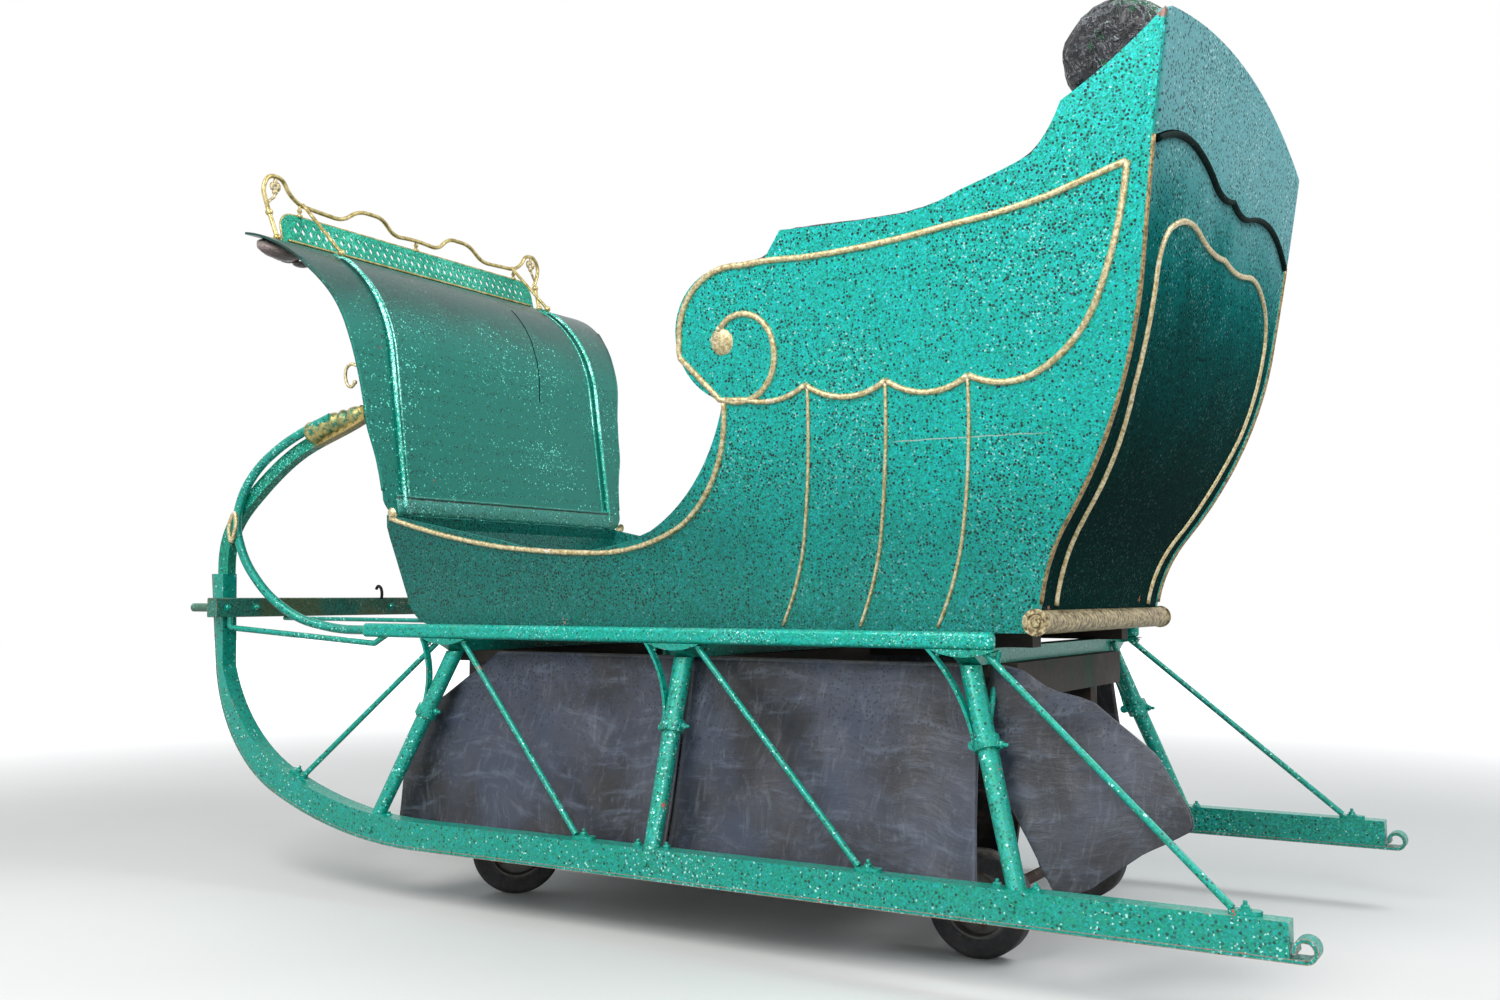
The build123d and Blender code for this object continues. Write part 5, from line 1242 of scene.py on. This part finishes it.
class SLEIGH_OT_upholster(bpy.types.Operator):
    """Makes the seat pad, the arm pads, the pleated back cushion and the piping"""

    bl_idname = "sleigh.upholster"
    bl_label = "Upholster the Seat"

    def execute(self, context):
        shapes = context.scene.sleigh_shapes
        swell = shapes.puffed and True
        seat = self.swollen("seat_pad", "seat_cushion", 0.012, 0.013, shapes.pad_swell, 4.0, swell)
        for side, _ in SIDES:
            pad = self.swollen(f"arm_cushion_{side}", f"arm_pad_{side}", 0.003, 0.009, 0.007, 2.0, swell)
        back = self.pleated_back(shapes.pleats)
        self.add_piping()
        return {"FINISHED"}

    def swollen(self, name, node, shrink, voxel, cap, pressure, swell):
        """A pad that starts as its foam, drawn in a little, and is blown up like a cover."""
        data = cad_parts[node].data.copy()
        pad = bpy.data.objects.new(name, data)
        bpy.context.scene.collection.objects.link(pad)
        data.materials.clear()
        data.materials.append(bpy.data.materials["creased_cover"])
        bpy.context.view_layer.objects.active = pad
        pad.select_set(True)
        apply_modifier(pad, "WELD", merge_threshold=0.0002)
        apply_modifier(pad, "REMESH", mode="VOXEL", voxel_size=voxel)
        centre = sum((v.co for v in data.vertices), Vector()) / len(data.vertices)
        for vertex, normal in zip(data.vertices, [v.normal.copy() for v in data.vertices]):
            vertex.co -= normal * shrink
        rest = [v.co.copy() for v in data.vertices]
        if swell:
            cloth = pad.modifiers.new("cover", "CLOTH")
            cloth.settings.use_pressure = True
            cloth.settings.uniform_pressure_force = pressure
            cloth.settings.effector_weights.gravity = 0.0
            cloth.settings.quality = 5
            cloth.point_cache.frame_start = 1
            cloth.point_cache.frame_end = CLOTH_FRAMES
            for number in range(1, CLOTH_FRAMES + 1):
                bpy.context.scene.frame_set(number)
            bpy.ops.object.modifier_apply(modifier=cloth.name)
            bpy.context.scene.frame_set(1)
        else:
            for vertex in data.vertices:
                vertex.co += vertex.normal * shrink * 0.8
        for vertex, start in zip(pad.data.vertices, rest):
            moved = vertex.co - start
            if moved.length > cap:
                vertex.co = start + moved * (cap / moved.length)
            pull = 0.004 * noise.noise(vertex.co * 14) + 0.0012 * noise.noise(vertex.co * 60)
            vertex.co += (vertex.co - centre).normalized() * pull
        apply_modifier(pad, "SUBSURF", levels=1)
        pad.data.polygons.foreach_set("use_smooth", [True] * len(pad.data.polygons))
        pad.select_set(False)
        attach(pad, "sleigh")
        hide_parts(node)
        return pad

    def pleated_back(self, pleats):
        """The back cushion: a fluted front and a gathered roll over the top, closed at both ends."""
        tree = node_tree_of("back_cushion")
        low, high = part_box("back_cushion")
        outline = row_points(REAR_OUTLINE, 0.01)

        def wall(z):
            """The inside of the back panel at a height."""
            for a, b in zip(outline, outline[1:]):
                if a.y <= z <= b.y:
                    return a.x + (b.x - a.x) * (z - a.y) / (b.y - a.y) - 0.0165
            return outline[-1].x - 0.0165

        # Rows of x, height and how much the cover gathers: up the wall, round the roll and down the front
        foot, head = low.z + 0.004, high.z - 0.062
        section = [(wall(z) - 0.003, z, 0.0) for z in spread(foot, head, 12)]
        roll, radius = Vector((wall(head) - 0.070, head + 0.018)), 0.088
        for angle in spread(radians(-5), radians(230), 24)[1:-1]:
            section.append((roll.x + radius * cos(angle), roll.y + radius * sin(angle), 1.0))
        neck = roll.y - 0.069
        for i in range(1, 19):
            share = i / 18
            z = neck + (foot - neck) * share
            belly = 0.020 * sin(pi * min(1.0, share * 1.08)) ** 0.7
            section.append((wall(z) - 0.052 - belly, z, 0.45))
        mesh = bmesh.new()
        across = 8 * pleats
        rings = []
        for j in range(across + 1):
            share = j / across * 2 - 1
            crown = (1 - abs(share) ** 22) ** 0.5 if abs(share) < 1 else 0.0
            ring = []
            for x, z, gather in section:
                y = self.half_width(tree, min(z, high.z - 0.03), low, high) * share
                middle = Vector((wall(z) - 0.03, z))
                if gather == 1.0:
                    middle = roll
                    y -= 0.012 * share * (1 - crown) * abs(sin(11 * atan2(z - roll.y, x - roll.x)))
                away = Vector((x, z)) - middle
                if gather:
                    wander = 0.5 * noise.noise(Vector((j * 0.05, z * 9, 0)))
                    depth = 0.010 * (1 - abs(sin(pi * pleats * (j / across) + wander)))
                    crumple = 0.009 * noise.noise(Vector((x * 30, y * 44, z * 30)))
                    away *= 1 + gather * (crumple - depth) / max(away.length, 0.01)
                    away *= 0.35 + 0.65 * crown
                spot = middle + away
                ring.append(mesh.verts.new((spot.x, y, spot.y)))
            rings.append(ring)
        join_rings(mesh, rings)
        piece = make_piece("pleated_back", mesh, "pleated_foil")
        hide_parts("back_cushion")
        return piece

    def half_width(self, tree, z, low, high):
        """Half the cushion's width at a height, a little inside its foam."""
        widths = []
        for x in (high.x - 0.05, high.x - 0.09, high.x - 0.14, low.x + 0.02, (low.x + high.x) / 2):
            hit = tree.ray_cast(Vector((x, 0.0, z)), Vector((0, 1, 0)))
            if hit[0] is not None and hit[0].y > 0.2:
                widths.append(hit[0].y)
        return (min(widths) if widths else 0.42) - 0.002

    def add_piping(self):
        """Crumpled piping inside the top edge of each wing, up to the head."""
        for side, sign in SIDES:
            tree = node_tree_of(f"body_side_{side}")
            points = []
            for i in range(62):
                x = 0.232 + 0.0115 * i
                for number in range(660):
                    level = BODY_UNDER + 0.96 - number * 0.001
                    hit = on_face(tree, Vector((x, sign * BESIDE, level)), Vector((0, -sign, 0)))
                    if hit:
                        break
                points.append(Vector((x, hit[0].y - sign * 0.0165, hit[0].z + 0.0005)))
            mesh = bmesh.new()
            add_rod(mesh, smoothed(points, 3), 0.0062, 12, uneven(sign * 3.3, 0.22))
            make_piece(f"arm_piping_{side}", mesh, "creased_cover")


class SLEIGH_OT_studio(bpy.types.Operator):
    """Sets the floor, the lamps, the surround and the camera"""

    bl_idname = "sleigh.studio"
    bl_label = "Set the Studio"

    def execute(self, context):
        studio = context.scene.sleigh_studio
        self.add_floor(context, studio.floor_colour)
        self.add_lamp("key_lamp", (-0.4, -3.4, 3.6), studio.key_power, 2.4, (1.0, 0.985, 0.96))
        self.add_lamp("rear_lamp", (2.6, 0.8, 3.8), studio.fill_power, 2.2, (0.95, 0.98, 1.0))
        self.add_lamp("near_lamp", (2.4, -3.4, 1.9), studio.fill_power * 0.6, 1.8, (1.0, 1.0, 1.0))
        world = bpy.data.worlds.new("studio_light")
        context.scene.world = world
        world.use_nodes = True
        sheet = NodeSheet(world.node_tree)
        world.node_tree.nodes.clear()
        plain = sheet.put("ShaderNodeBackground", {"Color": (0.93, 0.96, 1.0, 1.0), "Strength": studio.daylight})
        white = sheet.put("ShaderNodeBackground", {"Color": "FFFFFF", "Strength": 1.0})
        shades = {0: self.plain_rays(sheet), 1: plain.outputs[0], 2: white.outputs[0]}
        sheet.put("ShaderNodeOutputWorld", {"Surface": sheet.put("ShaderNodeMixShader", shades).outputs[0]})
        self.add_camera(context, studio.focal)
        context.scene.view_settings.view_transform = "Standard"
        return {"FINISHED"}

    def add_floor(self, context, colour):
        """A wide floor that shows as plain white further out."""
        mesh = bmesh.new()
        bmesh.ops.create_grid(mesh, x_segments=8, y_segments=8, size=14.0)
        data = bpy.data.meshes.new("studio_floor")
        mesh.to_mesh(data)
        mesh.free()
        floor = bpy.data.objects.new("studio_floor", data)
        context.scene.collection.objects.link(floor)
        floor.location = (0, 0, -0.0005)
        sheet, skin, place = new_finish("studio_floor")
        seen = self.plain_rays(sheet)
        pale = sheet.mix(sheet.ramp(sheet.grain(place, 1.2, 3.0), 0.3, 0.7, 0.0, 0.06), (*colour, 1.0), "C4C4C2")
        fade = sheet.times(seen, sheet.ramp(sheet.vector("LENGTH", place), 1.8, 6.0))
        sheet.fill(skin, {
            "Base Color": sheet.mix(seen, "6E6E6C", pale),
            "Emission Color": sheet.mix(fade, "000000", "FFFFFF"),
            "Emission Strength": 1.0,
            "Roughness": 0.7,
        })
        data.materials.append(bpy.data.materials["studio_floor"])

    def plain_rays(self, sheet):
        """1 for rays that show the background itself, straight, in a reflection or through glass."""
        path = sheet.put("ShaderNodeLightPath").outputs
        return sheet.larger(sheet.larger(path["Is Camera Ray"], path["Is Transmission Ray"]), path["Is Glossy Ray"])

    def add_lamp(self, name, place, power, size, colour):
        lamp = bpy.data.lights.new(name, "AREA")
        lamp.shape = "DISK"
        lamp.size = size
        lamp.energy = power
        lamp.color = colour
        stand = bpy.data.objects.new(name, lamp)
        bpy.context.scene.collection.objects.link(stand)
        stand.location = place
        stand.rotation_euler = (Vector((0, 0, 0.7)) - Vector(place)).to_track_quat("-Z", "Y").to_euler()

    def add_camera(self, context, focal):
        lens = bpy.data.cameras.new("studio_camera")
        lens.lens = focal
        lens.sensor_width = 36.0
        lens.sensor_fit = "HORIZONTAL"
        lens.clip_end = 60.0
        camera = bpy.data.objects.new("studio_camera", lens)
        context.scene.collection.objects.link(camera)
        camera.location = (1.455, -2.475, 0.595)
        camera.rotation_euler = (radians(90 + 3.882), 0.0, radians(31.19))
        context.scene.camera = camera


STEPS = (
    SLEIGH_OT_finish_nodes,
    SLEIGH_OT_side_mouldings,
    SLEIGH_OT_back_mouldings,
    SLEIGH_OT_dash_trim,
    SLEIGH_OT_fittings,
    SLEIGH_OT_hang_sheets,
    SLEIGH_OT_upholster,
    SLEIGH_OT_studio,
)


class SLEIGH_PT_dressing(bpy.types.Panel):
    """Lists the dressing's settings and steps"""

    bl_idname = "SLEIGH_PT_dressing"
    bl_label = "Sleigh Dressing"
    bl_space_type = "VIEW_3D"
    bl_region_type = "UI"
    bl_category = "Sleigh"

    def draw(self, context):
        for settings in (context.scene.sleigh_paint, context.scene.sleigh_shapes, context.scene.sleigh_studio):
            box = self.layout.box()
            for name in settings.__annotations__:
                box.prop(settings, name)
        for step in STEPS:
            self.layout.operator(step.bl_idname)


CLASSES = (SleighPaint, SleighShapes, SleighStudio, *STEPS, SLEIGH_PT_dressing)


def register():
    for kind in CLASSES:
        bpy.utils.register_class(kind)
    bpy.types.Scene.sleigh_paint = PointerProperty(type=SleighPaint)
    bpy.types.Scene.sleigh_shapes = PointerProperty(type=SleighShapes)
    bpy.types.Scene.sleigh_studio = PointerProperty(type=SleighStudio)


def unregister():
    del bpy.types.Scene.sleigh_studio
    del bpy.types.Scene.sleigh_shapes
    del bpy.types.Scene.sleigh_paint
    for kind in reversed(CLASSES):
        bpy.utils.unregister_class(kind)


def main():
    """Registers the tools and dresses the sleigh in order."""
    register()
    bpy.ops.sleigh.finish_nodes()
    bpy.ops.sleigh.side_mouldings()
    bpy.ops.sleigh.back_mouldings()
    bpy.ops.sleigh.dash_trim()
    bpy.ops.sleigh.fittings()
    bpy.ops.sleigh.hang_sheets()
    bpy.ops.sleigh.upholster()
    bpy.ops.sleigh.studio()


if __name__ == "__main__":
    main()
